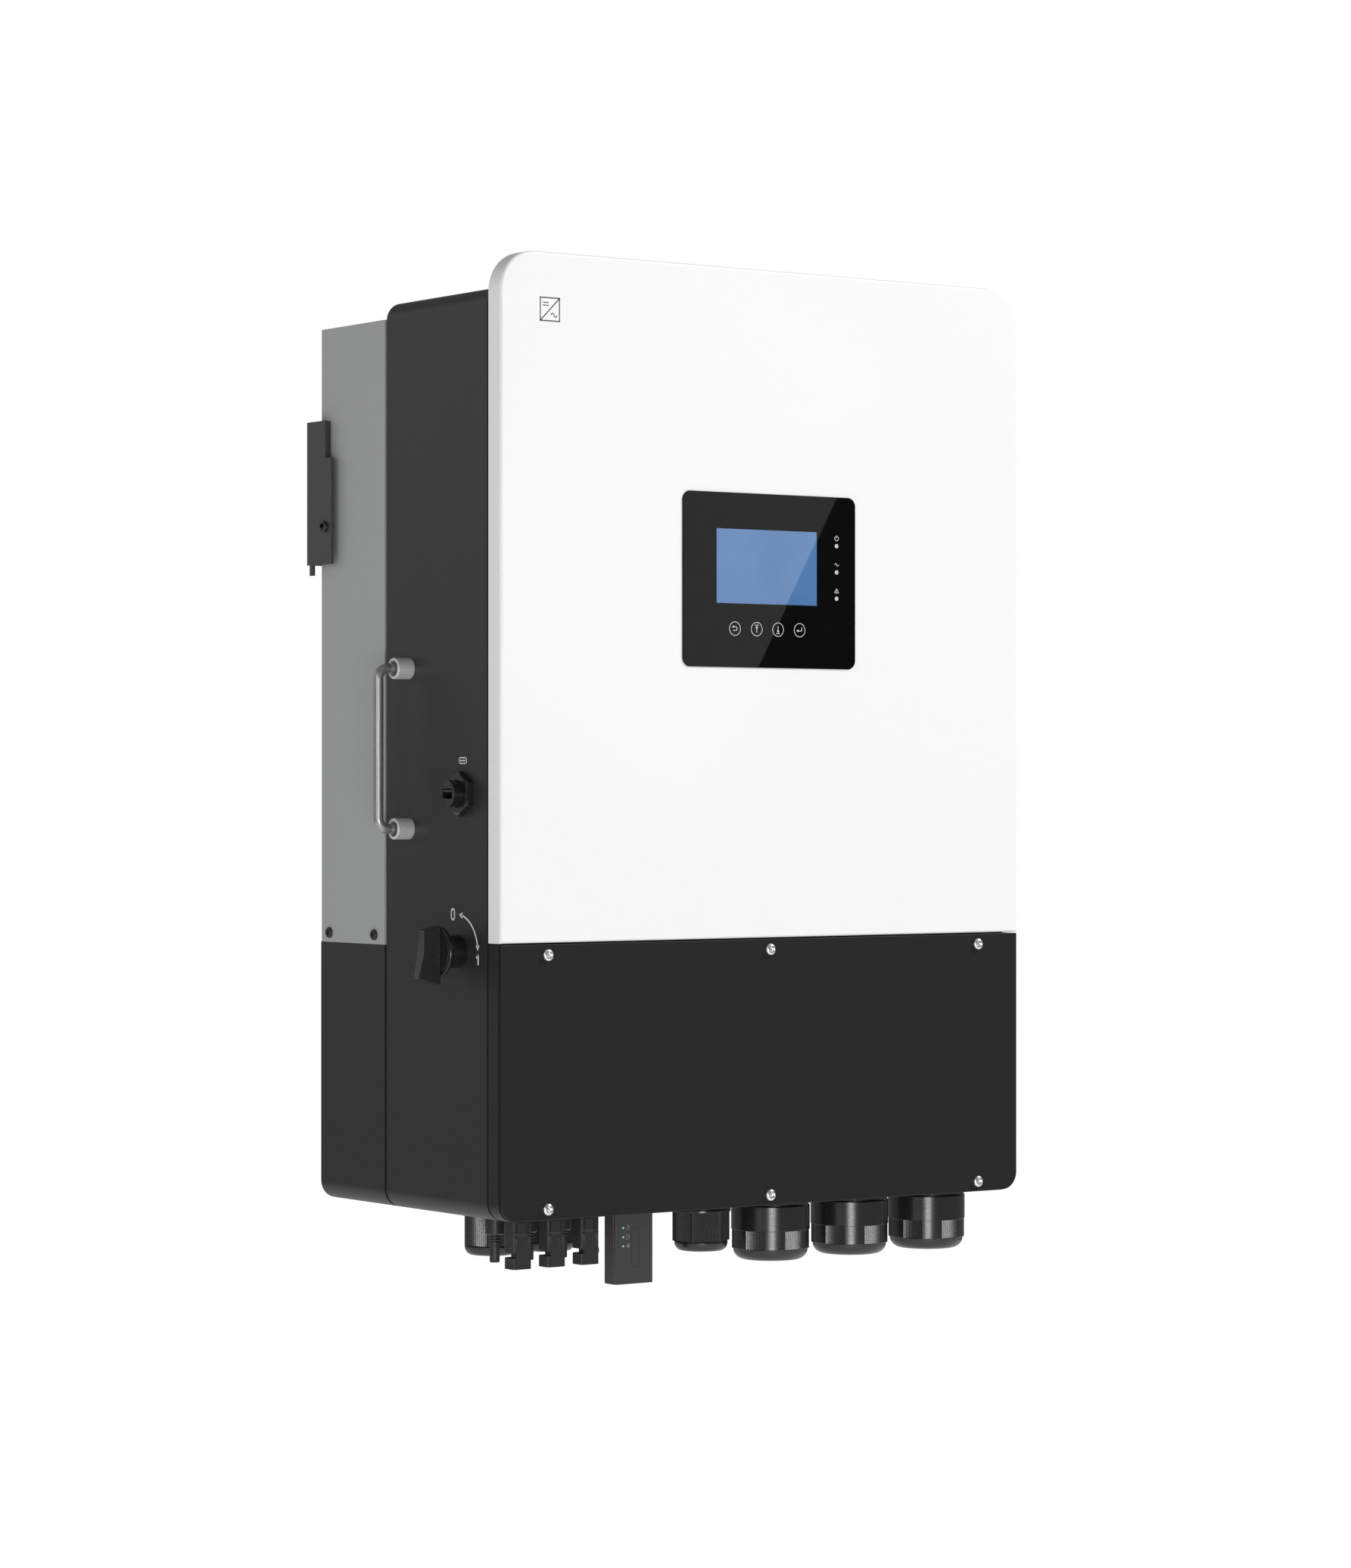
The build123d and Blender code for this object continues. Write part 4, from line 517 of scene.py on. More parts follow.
def boredBlock(width, depth, height, bore, edge=0.0):
    # A block standing on Z = 0 with a round hole through it; its upright edges are rounded.
    bm = bmesh.new()
    inner = bmesh.ops.create_circle(bm, cap_ends=False, segments=40, radius=bore)["verts"]
    outer = bmesh.ops.create_circle(bm, cap_ends=False, segments=40, radius=width)["verts"]
    for vert in outer:
        x, y = vert.co.x, vert.co.y
        grow = min(width / 2 / max(abs(x), 0.001), depth / 2 / max(abs(y), 0.001))
        vert.co.x, vert.co.y = x * grow, y * grow
    for side, front in ((1, 1), (1, -1), (-1, 1), (-1, -1)):
        corner = Vector((side * width / 2, front * depth / 2, 0))
        nearest = min(outer, key=lambda vert: (vert.co - corner).length)
        nearest.co = corner
    bmesh.ops.bridge_loops(bm, edges=bm.edges[:])
    grown = bmesh.ops.extrude_face_region(bm, geom=bm.faces[:])["geom"]
    verts = [item for item in grown if isinstance(item, bmesh.types.BMVert)]
    bmesh.ops.translate(bm, vec=(0, 0, height), verts=verts)
    bmesh.ops.recalc_face_normals(bm, faces=bm.faces[:])
    if edge:
        upright = [
            item for item in bm.edges
            if abs(item.verts[0].co.z - item.verts[1].co.z) > height / 2
            and math.hypot(item.verts[0].co.x, item.verts[0].co.y) > bore + 0.5
            and item.calc_face_angle(0) > 0.7
        ]
        bmesh.ops.bevel(
            bm, geom=upright, offset=edge, segments=3, profile=0.5,
            affect="EDGES", clamp_overlap=True, material=-1,
        )
    return bm


def press(bm, left, right, low, high, depth):
    # Sinks a rectangle of the face that looks towards +Z; a negative depth raises it.
    for axis, place in ((0, left), (0, right), (1, low), (1, high)):
        point, normal = Vector(), Vector()
        point[axis] = place
        normal[axis] = 1
        everything = bm.verts[:] + bm.edges[:] + bm.faces[:]
        bmesh.ops.bisect_plane(bm, geom=everything, dist=0.0001, plane_co=point, plane_no=normal)
    bm.normal_update()
    inside = []
    for face in bm.faces:
        centre = face.calc_center_median()
        if face.normal.z > 0.9 and left < centre.x < right and low < centre.y < high:
            inside.append((centre.z, face))
    top = max(height for height, face in inside)
    faces = [face for height, face in inside if height > top - 0.01]
    grown = bmesh.ops.extrude_face_region(bm, geom=faces)["geom"]
    verts = [item for item in grown if isinstance(item, bmesh.types.BMVert)]
    bmesh.ops.translate(bm, vec=(0, 0, -depth), verts=verts)


def makeSolarSockets():
    s = solarSettings
    faceFront = at(0, 0, 0, "front").inverted()
    bm = bmesh.new()
    upper = boredBlock(s["width"], s["depth"], s["notchTop"] - s["flangeHeight"], s["bore"], edge=1.2)
    bmesh.ops.translate(upper, vec=(0, 0, -s["notchTop"]), verts=upper.verts[:])
    upper.transform(faceFront)
    for left, right, low, high in s["windows"]:
        press(upper, left, right, low, high, s["windowDepth"])
    press(upper, -4.7, 3.9, -15.8, -4.4, 2.4)  # well round the clip
    press(upper, -3.9, 3.1, -13.9, -5.4, -2.9)  # the clip itself
    press(upper, 2.9, 3.1, -28.8, -16.6, 0.3)  # parting line
    upper.transform(faceFront.inverted())
    softenEdges(upper, 0.16, segments=1, angle=60)
    lower = boredBlock(s["width"], s["depth"], s["drop"] - s["notchFoot"], s["bore"], edge=1.2)
    bmesh.ops.translate(lower, vec=(0, 0, -s["drop"]), verts=lower.verts[:])
    lower.transform(faceFront)
    press(lower, 2.9, 3.1, -s["drop"] + 0.4, -s["notchFoot"] - 0.4, 0.3)
    lower.transform(faceFront.inverted())
    softenEdges(lower, 0.3, segments=2, angle=60)
    plate = block(s["width"] - 3.2, s["frontPlate"], s["notchFoot"] - s["notchTop"])
    bmesh.ops.translate(
        plate, vec=(1.6, (s["frontPlate"] - s["depth"]) / 2, -s["notchFoot"]), verts=plate.verts[:],
    )
    core = lathe(
        [(s["bore"], -s["notchFoot"]), (s["core"], -s["notchFoot"]), (s["core"], -s["notchTop"]),
         (s["bore"], -s["notchTop"])], 40, closed=True,
    )
    plug = lathe([(0, -s["boreTop"]), (s["bore"], -s["boreTop"]), (s["bore"], -3.0), (0, -3.0)], 40)
    flange = lathe([
        (0, -s["flangeHeight"]), (s["flange"] - 0.5, -s["flangeHeight"]),
        (s["flange"], -s["flangeHeight"] + 0.5), (s["flange"], 0), (0, 0),
    ], 48)
    prong = lathe([(0, -38), (0.9, -38), (1.5, -37), (1.5, -s["boreTop"]), (0, -s["boreTop"])], 20)
    places = [at(x, s["socketBack"] - s["depth"] / 2, base) for x in s["columns"]]
    for shape in (upper, lower, plate, core, plug, flange, prong):
        put(bm, shape, *places)
    addPiece("solar_socket_shells", bm, "connectorNylon", stands=["solar_sockets"])
    # painted shade: thin dark blocks on the window floors make the recesses look like shaded open
    # slots
    shadeLiners = bmesh.new()  # dark floors of the windows
    for left, right, low, high in s["windows"]:
        shadeLiner = block(right - left - 0.04, s["shadeLiner"], high - low - 0.04)
        behind = s["windowDepth"] - s["shadeLiner"] / 2 - s["depth"] / 2
        inside = Vector(((left + right) / 2, behind, low + 0.02))
        put(shadeLiners, shadeLiner, *[place @ Matrix.Translation(inside) for place in places])
    addPiece("solar_socket_window_shade", shadeLiners, "sealingRubber")


def makeSolarPins():
    s = solarSettings
    pin = s["pin"]
    profile = [(0, 0), (s["pinBase"], 0), (s["pinBase"], 4.5), (s["pinBase"] - 1.4, 5.2)]
    profile += [(s["pinBase"] - 1.4, s["pinBaseDrop"] - 1), (s["pinBase"] - 2.4, s["pinBaseDrop"])]
    profile += [(pin - 0.6, s["pinBaseDrop"])]
    for ring in (18.8, 21.2):
        profile += arcPoints(pin - 0.6, ring + 0.8, 0.9, 0.8, -90, 90, 6)
    profile += [(pin - 0.6, 23.2), (pin, 23.8), (pin, s["pinDrop"] - 0.5)]
    profile += [(pin - 0.5, s["pinDrop"]), (s["contact"], s["pinDrop"])]
    profile += [(s["contact"], s["pinDrop"] - 18), (0, s["pinDrop"] - 18)]
    bm = bmesh.new()
    shape = lathe(profile, 56)
    for vert in shape.verts:  # two shallow parting ridges down the pin
        angle = math.degrees(math.atan2(vert.co.y, vert.co.x)) % 180
        if vert.co.z > 23.5 and math.hypot(vert.co.x, vert.co.y) > pin - 0.6 and abs(angle - 51) < 4:
            vert.co.x *= 1.05
            vert.co.y *= 1.05
    places = [at(x, s["pinRow"], base, "below") for x in s["columns"]]
    put(bm, shape, *places)
    addPiece("solar_pin_shells", bm, "connectorNylon", stands=["solar_pins"])


makeSolarSockets()
makeSolarPins()
print("solar connectors made")

# data stick under the body, with its lamps
stickSettings = dict(
    x=-91.8, y=-212.0, width=37.2, depth=16.0, drop=62.7, seam=2.4,
    flangeWidth=68.0, flangeHeight=2.5, pillWidth=6.7, pillHeight=31.7, pillLine=0.32,
    lampColumn=-10.8, lampDrops=(16.8, 24.3, 31.5), lampRadius=0.95, lampRim=1.35,
    markGap=4.6, pillShift=0.95, pillDrop=33.25,
)


def makeStick():
    s = stickSettings
    tall = s["drop"] - s["flangeHeight"]
    lid = block(s["width"] - 0.5, tall - 0.3, s["seam"], 0.7, 3)
    seam = block(s["width"] - 1.6, tall - 1.2, 1.0)
    case = block(s["width"], tall, s["depth"] - s["seam"] - 0.5, 1.2, 3)
    flange = block(s["flangeWidth"], s["depth"], s["flangeHeight"], 0.5, 2)
    bm = bmesh.new()
    middle = base - s["flangeHeight"] - tall / 2
    lidBack = s["y"] - s["depth"] / 2 + s["seam"]
    put(bm, lid, at(s["x"], lidBack, middle, "front"))
    put(bm, seam, at(s["x"], lidBack + 0.75, middle, "front"))
    put(bm, case, at(s["x"], s["y"] + s["depth"] / 2, middle, "front"))
    put(bm, flange, at(s["x"], s["y"], base - s["flangeHeight"]))
    for drop in s["lampDrops"]:
        rimShape = lathe(
            arcPoints(s["lampRim"], 0, 0.35, 0.2, 0, 360, 8)[:-1], 24, closed=True,
        )
        put(bm, rimShape, at(s["x"] + s["lampColumn"], s["y"] - s["depth"] / 2, base - drop, "front"))
    addPiece("data_stick_shell", bm, "stickPlastic", stands=["stick_case"])
    lamps = bmesh.new()
    for drop in s["lampDrops"]:
        lamp = lathe([(0, 0.35)] + arcPoints(0, 0.05, s["lampRadius"], 0.3, 75, 0, 4), 20)
        put(lamps, lamp, at(s["x"] + s["lampColumn"], s["y"] - s["depth"] / 2, base - drop, "front"))
    addPiece("data_stick_lamps", lamps, "greenLamp")
    print("data stick made")


makeStick()

# rotary switch knob: a round skirt and a wedge-shaped grip, which turns with the shaft
knobSettings = dict(
    axisY=-218.5, axisZ=-370.5, side=-260.0, skirtLow=16.4, skirtHigh=19.8, skirt=20.0,
    rootUp=21.0, rootDown=-26.0, rootWidth=13.0, tipWidth=8.2,
    tip=((17.0, 33.8), (-1.5, 34.0), (-21.0, 39.0)), edge=0.9,
)


def makeKnob():
    s = knobSettings
    grip = block(s["rootWidth"], s["rootUp"] - s["rootDown"], 10)
    bmesh.ops.translate(grip, vec=(0, (s["rootUp"] + s["rootDown"]) / 2, 0), verts=grip.verts[:])
    bend = s["tip"][1]
    everything = grip.verts[:] + grip.edges[:] + grip.faces[:]
    bmesh.ops.bisect_plane(
        grip, geom=everything, dist=0.0001, plane_co=(0, bend[0], 0), plane_no=(0, 1, 0),
    )
    for vert in grip.verts:
        if vert.co.z < 5:
            continue
        place = min(
            zip((s["rootUp"], bend[0], s["rootDown"]), s["tip"]),
            key=lambda pair: abs(pair[0] - vert.co.y),
        )[1]
        vert.co.y = place[0]
        vert.co.z = place[1] - s["skirtHigh"]
        vert.co.x = math.copysign(s["tipWidth"] / 2, vert.co.x)
    softenEdges(grip, s["edge"], segments=3, angle=12)
    bm = bmesh.new()
    place = at(s["side"], s["axisY"], s["axisZ"], "left")
    put(bm, grip, place @ Matrix.Translation((0, 0, s["skirtHigh"] - 0.05)))
    skirt = lathe([
        (0, s["skirtLow"]), (s["skirt"] - 0.4, s["skirtLow"]), (s["skirt"], s["skirtLow"] + 0.4),
        (s["skirt"], s["skirtHigh"] - 1.0), (s["skirt"] - 0.35, s["skirtHigh"] - 0.35),
        (s["skirt"] - 1.0, s["skirtHigh"]), (s["skirt"] - 2.2, s["skirtHigh"]),
        (s["skirt"] - 2.5, s["skirtHigh"] - 0.35), (s["skirt"] - 2.9, s["skirtHigh"] - 0.35),
        (s["skirt"] - 3.2, s["skirtHigh"]), (0, s["skirtHigh"]),
    ], 96)
    put(bm, skirt, place)
    addPiece(
        "switch_knob_grip", bm, "knobPlastic", stands=["dc_switch_knob"], body="switch_knob", sharp=28,
    )
    print("switch knob made")


makeKnob()

# USB nut: six flats, cut back by a cone at its outer face
usbSettings = dict(
    y=-226.0, z=-246.4, side=-260.0, flat=15.4, chamfer=15.0, height=6.4, bore=10.55, markRise=26.0,
)


def makeUsbNut():
    s = usbSettings
    nut = lathe([
        (s["bore"], 0), (s["flat"] + 1, 0), (s["flat"] + 1, s["height"] - 1),
        (s["chamfer"], s["height"]), (s["bore"] + 0.5, s["height"]), (s["bore"], s["height"] - 0.5),
    ], 120, closed=True)
    slope = math.tan(math.radians(30))
    for vert in nut.verts:
        radius = math.hypot(vert.co.x, vert.co.y)
        if radius < s["chamfer"] + 0.3:
            continue
        off = (math.degrees(math.atan2(vert.co.y, vert.co.x)) + 30) % 60 - 30
        wanted = s["flat"] / math.cos(math.radians(off))
        vert.co.x *= wanted / radius
        vert.co.y *= wanted / radius
        if vert.co.z > 0.1:
            vert.co.z = s["height"] - (wanted - s["chamfer"]) * slope
    bm = bmesh.new()
    put(bm, nut, at(s["side"], s["y"], s["z"], "left"))
    addPiece("usb_hex_nut", bm, "knobPlastic", stands=["usb_nut"], sharp=20)
    print("usb nut made")


makeUsbNut()

# side handles: one bent rod each
handleSettings = dict(rod=4.0, bend=8.5, sides=32, bendSteps=14)


def makeHandle(node, side):
    s = handleSettings
    low, high = nodeBox(node)
    rod = s["rod"]
    y = (low.y + high.y) / 2
    bottom, top = low.z + rod, high.z - rod
    root = abs(high.x if side < 0 else low.x)
    out = abs(low.x if side < 0 else high.x) - rod
    bm = bmesh.new()
    verts = bmesh.ops.create_circle(
        bm, cap_ends=False, segments=s["sides"], radius=rod,
        matrix=Matrix.Translation((root, y, bottom)) @ Matrix.Rotation(math.radians(90), 4, "Y"),
    )["verts"]
    ring = verts + bm.edges[:]

    def straight(ring, move):
        edges = [item for item in ring if isinstance(item, bmesh.types.BMEdge)]
        grown = bmesh.ops.extrude_edge_only(bm, edges=edges)["geom"]
        moved = [item for item in grown if isinstance(item, bmesh.types.BMVert)]
        bmesh.ops.translate(bm, vec=move, verts=moved)
        end = set(moved)
        return moved + [
            item for item in grown
            if isinstance(item, bmesh.types.BMEdge) and all(vert in end for vert in item.verts)
        ]

    def corner(ring, centre):
        turned = bmesh.ops.spin(
            bm, geom=ring, cent=centre, axis=(0, -1, 0), angle=math.radians(90),
            steps=s["bendSteps"], use_merge=False,
        )
        return turned["geom_last"]

    bend = s["bend"]
    ring = straight(ring, (out - bend - root, 0, 0))
    ring = corner(ring, (out - bend, y, bottom + bend))
    ring = straight(ring, (0, 0, top - bottom - 2 * bend))
    ring = corner(ring, (out - bend, y, top - bend))
    straight(ring, (root - out + bend, 0, 0))
    bmesh.ops.holes_fill(bm, edges=[edge for edge in bm.edges if edge.is_boundary], sides=0)
    bmesh.ops.scale(bm, vec=(side, 1, 1), verts=bm.verts[:])
    addPiece(node + "_rod", bm, "satinSteel", stands=[node])


makeHandle("handle_left", -1)
makeHandle("handle_right", 1)
print("handles made")

# fans in the top of the duct: rotors with twisted blades, and wire guards over them
fanSettings = dict(
    columns=(-160.0, 0.0, 160.0), y=-60.25, foot=113.3, top=132.5, hub=18.0, tip=41.8, blades=7,
    chord=20.0, pitchRoot=46.0, pitchTip=30.0, thickness=1.7,
)
guardSettings = dict(
    foot=135.7, wire=0.9, rings=(12.0, 22.0, 32.0, 42.0), earSpacing=82.5, ear=4.5, hole=2.2,
)


def makeBlade():
    s = fanSettings
    blade = bmesh.new()
    verts = bmesh.ops.create_grid(blade, x_segments=8, y_segments=6, size=0.5)["verts"]
    middle = (s["foot"] + s["top"]) / 2
    for vert in verts:
        along = vert.co.x + 0.5
        radius = s["hub"] - 0.8 + (s["tip"] - s["hub"] + 0.8) * along
        pitch = math.radians(s["pitchRoot"] + (s["pitchTip"] - s["pitchRoot"]) * along)
        across = vert.co.y * s["chord"]
        camber = 1.4 * (1 - 4 * vert.co.y ** 2)
        swing = across * math.cos(pitch) / radius + 0.25 * along
        rise = across * math.sin(pitch) + camber
        vert.co = Vector((radius * math.cos(swing), radius * math.sin(swing), middle + rise))
    bmesh.ops.recalc_face_normals(blade, faces=blade.faces[:])
    bmesh.ops.solidify(blade, geom=blade.faces[:], thickness=s["thickness"])
    return blade


def makeFans():
    s = fanSettings
    for number, x in enumerate(s["columns"], start=1):
        bm = bmesh.new()
        hub = lathe([
            (0, s["foot"]), (s["hub"] - 0.6, s["foot"]), (s["hub"], s["foot"] + 0.6),
            (s["hub"], s["top"] - 1.5), (s["hub"] - 0.6, s["top"] - 0.5), (s["hub"] - 1.8, s["top"]),
            (9.0, s["top"]), (8.6, s["top"] - 0.4), (0, s["top"] - 0.4),
        ], 64)
        put(bm, hub, at(x, s["y"], 0))
        step = 360 / s["blades"]
        put(bm, makeBlade(), *[at(x, s["y"], 0, roll=step * blade) for blade in range(s["blades"])])
        rotor = f"fan_rotor_{number}"
        addPiece(rotor + "_blades", bm, "fanPlastic", stands=[rotor], body=f"fan_{number}")


def makeGuards():
    s = guardSettings
    middle = s["foot"] + s["wire"]
    guard = bmesh.new()
    here = Matrix.Identity(4)
    for radius in s["rings"]:
        ring = lathe(arcPoints(radius, middle, s["wire"], s["wire"], 0, 360, 8)[:-1], 72, closed=True)
        put(guard, ring, here)
    reach = s["earSpacing"] * math.sqrt(2) - 2 * s["hole"] - 1
    for roll in (45, 135):
        lying = Euler((0, math.radians(90), math.radians(roll))).to_matrix().to_4x4()
        bmesh.ops.create_cone(
            guard, cap_ends=True, segments=10, radius1=s["wire"], radius2=s["wire"], depth=reach,
            matrix=Matrix.Translation((0, 0, middle)) @ lying,
        )
    for side in (-1, 1):
        for front in (-1, 1):
            ear = lathe([
                (s["hole"], s["foot"]), (s["ear"] - 0.3, s["foot"]), (s["ear"], s["foot"] + 0.3),
                (s["ear"], s["foot"] + 1.5), (s["ear"] - 0.3, s["foot"] + 1.8),
                (s["hole"], s["foot"] + 1.8),
            ], 28, closed=True)
            half = s["earSpacing"] / 2
            put(guard, ear, at(side * half, front * half, 0))
    bm = bmesh.new()
    put(bm, guard, *[at(x, fanSettings["y"], 0) for x in fanSettings["columns"]])
    addPiece("fan_wire_guards", bm, "zincPlate", stands=["fan_guards"])


makeFans()
makeGuards()
print("fans made")

# printed marks: plain figures in thin raised ink, drawn flat with X to the right and Y up
inkHeight = 0.1


def inkBar(bm, start, end, width):
    run = Vector(end) - Vector(start)
    verts = bmesh.ops.create_grid(bm, x_segments=1, y_segments=1, size=0.5)["verts"]
    bmesh.ops.scale(bm, vec=(run.length + width, width, 1), verts=verts)
    turn = Matrix.Rotation(math.atan2(run.y, run.x), 3, "Z")
    bmesh.ops.rotate(bm, cent=(0, 0, 0), matrix=turn, verts=verts)
    middle = (Vector(start) + Vector(end)) / 2
    bmesh.ops.translate(bm, vec=(middle.x, middle.y, 0), verts=verts)


def inkLine(bm, points, width):
    for start, end in zip(points, points[1:]):
        inkBar(bm, start, end, width)


def inkArc(bm, x, y, radius, width, start=0, end=360):
    rim = [radius - width / 2, radius + width / 2]
    turn = math.radians(start)
    verts = [bm.verts.new((x + r * math.cos(turn), y + r * math.sin(turn), 0)) for r in rim]
    edge = bm.edges.new(verts)
    full = abs(end - start) >= 360
    steps = max(6, round(abs(end - start) / 8))
    bmesh.ops.spin(
        bm, geom=verts + [edge], cent=(x, y, 0), axis=(0, 0, 1),
        angle=math.radians(end - start), steps=steps, use_merge=full,
    )


def inkDot(bm, x, y, radius, segments=20, turn=0):
    place = Matrix.Translation((x, y, 0)) @ Matrix.Rotation(math.radians(turn), 4, "Z")
    bmesh.ops.create_circle(bm, cap_ends=True, segments=segments, radius=radius, matrix=place)


def inkTip(bm, x, y, size, angle):
    inkDot(bm, x, y, size, 3, angle - 90)


def addInk(target, marks, place):
    grown = bmesh.ops.extrude_face_region(marks, geom=marks.faces[:])["geom"]
    verts = [item for item in grown if isinstance(item, bmesh.types.BMVert)]
    bmesh.ops.translate(marks, vec=(0, 0, inkHeight), verts=verts)
    put(target, marks, place @ Matrix.Translation((0, 0, -0.02)))


displaySettings = dict(
    glass=-281.0, keyRow=-113.7, keys=(-35.6, -13.8, 7.7, 29.5), keyRadius=5.45, ring=0.42, line=0.5,
    lampColumn=67.4, lamps=(-87.15, -65.65, -44.15),
    lampMarkRise=6.2,
)


def makeKeyMarks():
    s = displaySettings
    line = s["line"]
    white = bmesh.new()
    for number, x in enumerate(s["keys"]):
        marks = bmesh.new()
        inkArc(marks, 0, 0, s["keyRadius"], s["ring"])
        if number == 0:  # back
            inkBar(marks, (-1.2, 1.5), (0.6, 1.5), line)
            inkTip(marks, -1.7, 1.5, 1.15, 180)
            inkArc(marks, 0.6, 0, 1.5, line, -90, 90)
            inkBar(marks, (-1.6, -1.5), (0.6, -1.5), line)
        if number in (1, 2):  # up and down
            way = 1 if number == 1 else -1
            inkBar(marks, (0, -2.6 * way), (0, 1.2 * way), line)
            inkTip(marks, 0, 1.4 * way, 1.4, 90 * way)
            inkBar(marks, (-1.7, 3.2 * way), (1.7, 3.2 * way), line * 0.8)
        if number == 3:  # enter
            inkLine(marks, [(2.2, 2.2), (2.2, -0.6), (-1.4, -0.6)], line)
            inkTip(marks, -1.9, -0.6, 1.25, 180)
        addInk(white, marks, at(x, s["glass"], s["keyRow"], "front"))
    for number, z in enumerate(s["lamps"]):
        marks = bmesh.new()
        if number == 2:  # supply present
            inkArc(marks, 0, 0, 1.9, 0.4, 115, 425)
            inkBar(marks, (0, 0.6), (0, 2.3), 0.4)
        if number == 1:  # running
            inkArc(marks, -0.95, 0, 0.95, 0.4, 0, 180)
            inkArc(marks, 0.95, 0, 0.95, 0.4, 180, 360)
        if number == 0:  # attention
            inkLine(marks, [(-2.1, -1.5), (2.1, -1.5), (0, 2.0), (-2.1, -1.5)], 0.4)
            inkBar(marks, (0, -0.6), (0, 0.7), 0.35)
        addInk(white, marks, at(s["lampColumn"], s["glass"], z + s["lampMarkRise"], "front"))
    addPiece("display_marks", white, "printWhite")


knobMarkSettings = dict(
    radius=29.0, line=1.3, figure=1.35, start=8.0, end=80.0, tip=2.9, zeroX=-7.0, oneX=29.5,
)


def makeKnobMarks():
    s = knobMarkSettings
    radius = s["radius"]
    marks = bmesh.new()
    inkArc(marks, 0, 0, radius, s["line"], s["start"], s["end"])
    for angle, way in ((s["start"], -90), (s["end"], 90)):
        turn = math.radians(angle)
        inkTip(marks, radius * math.cos(turn), radius * math.sin(turn), s["tip"], angle + way)
    inkArc(marks, s["zeroX"], 31.0, 2.3, s["figure"], 0, 180)
    inkArc(marks, s["zeroX"], 27.2, 2.3, s["figure"], 180, 360)
    for side in (-2.3, 2.3):
        inkBar(marks, (s["zeroX"] + side, 28.0), (s["zeroX"] + side, 30.2), s["figure"])
    inkBar(marks, (s["oneX"], -9.0), (s["oneX"], -2.2), s["figure"] + 0.3)
    inkBar(marks, (s["oneX"], -2.2), (s["oneX"] - 2.2, -4.0), s["figure"])
    ink = bmesh.new()
    addInk(ink, marks, at(knobSettings["side"], knobSettings["axisY"], knobSettings["axisZ"], "left"))
    port = bmesh.new()
    inkLine(port, [(-5.2, -2.2), (5.2, -2.2), (5.2, 2.2), (-5.2, 2.2), (-5.2, -2.2)], 0.8)
    inkBar(port, (-3.2, 0), (3.2, 0), 0.9)
    usb = usbSettings
    addInk(ink, port, at(usb["side"], usb["y"], usb["z"] + usb["markRise"], "left"))
    addPiece("side_marks", ink, "printWhite")


coverMarkSettings = dict(x=-214.0, z=132.0, half=9.0, line=1.0)


def makeCoverMark():
    s = coverMarkSettings
    half = s["half"]
    marks = bmesh.new()
    corners = [(-half, -half), (half, -half), (half, half), (-half, half), (-half, -half)]
    inkLine(marks, corners, s["line"])
    inkBar(marks, (-half, -half), (half, half), s["line"])
    for height in (3.0, 5.2):
        inkBar(marks, (-6.2, height), (-1.6, height), s["line"] * 0.8)
    inkArc(marks, 2.4, -4.4, 1.4, s["line"] * 0.8, 0, 180)
    inkArc(marks, 5.2, -4.4, 1.4, s["line"] * 0.8, 180, 360)
    ink = bmesh.new()
    addInk(ink, marks, at(s["x"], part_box("front_cover")[0].y / mm, s["z"], "front"))
    addPiece("cover_mark", ink, "printGrey")


def makeStickMarks():
    s = stickSettings
    ink = bmesh.new()
    for number, drop in enumerate(s["lampDrops"]):
        marks = bmesh.new()
        if number == 0:  # inverter link
            inkBar(marks, (-1.8, 0.9), (1.8, 0.9), 0.3)
            inkArc(marks, -0.9, -0.6, 0.9, 0.3, 0, 180)
            inkArc(marks, 0.9, -0.6, 0.9, 0.3, 180, 360)
        if number == 1:  # site link
            roof = [(-2.0, 0.2), (0, 1.7), (2.0, 0.2)]
            inkLine(marks, roof + [(1.7, -1.5), (-1.7, -1.5), roof[0]], 0.35)
        if number == 2:  # signal
            for radius in (0.9, 1.9, 2.9):
                inkArc(marks, 0, -1.5, radius, 0.55, 52, 128)
            inkDot(marks, 0, -1.5, 0.4)
        x = s["x"] + s["lampColumn"] + s["markGap"]
        addInk(ink, marks, at(x, s["y"] - s["depth"] / 2, base - drop, "front", roll=-90))
    addPiece("data_stick_marks", ink, "printGreyLight")
    pill = bmesh.new()
    half = s["pillWidth"] / 2
    straight = (s["pillHeight"] - s["pillWidth"]) / 2
    for way in (1, -1):
        inkArc(pill, 0, straight * way, half, s["pillLine"], 0, 180 * way)
        inkBar(pill, (half * way, -straight), (half * way, straight), s["pillLine"])
    dark = bmesh.new()
    x = s["x"] + s["pillShift"]
    addInk(dark, pill, at(x, s["y"] - s["depth"] / 2, base - s["pillDrop"], "front"))
    addPiece("data_stick_outline", dark, "connectorNylon")


makeKeyMarks()
makeKnobMarks()
makeCoverMark()
makeStickMarks()
print("printed marks made")

# nodes that keep their own mesh and only take a finish

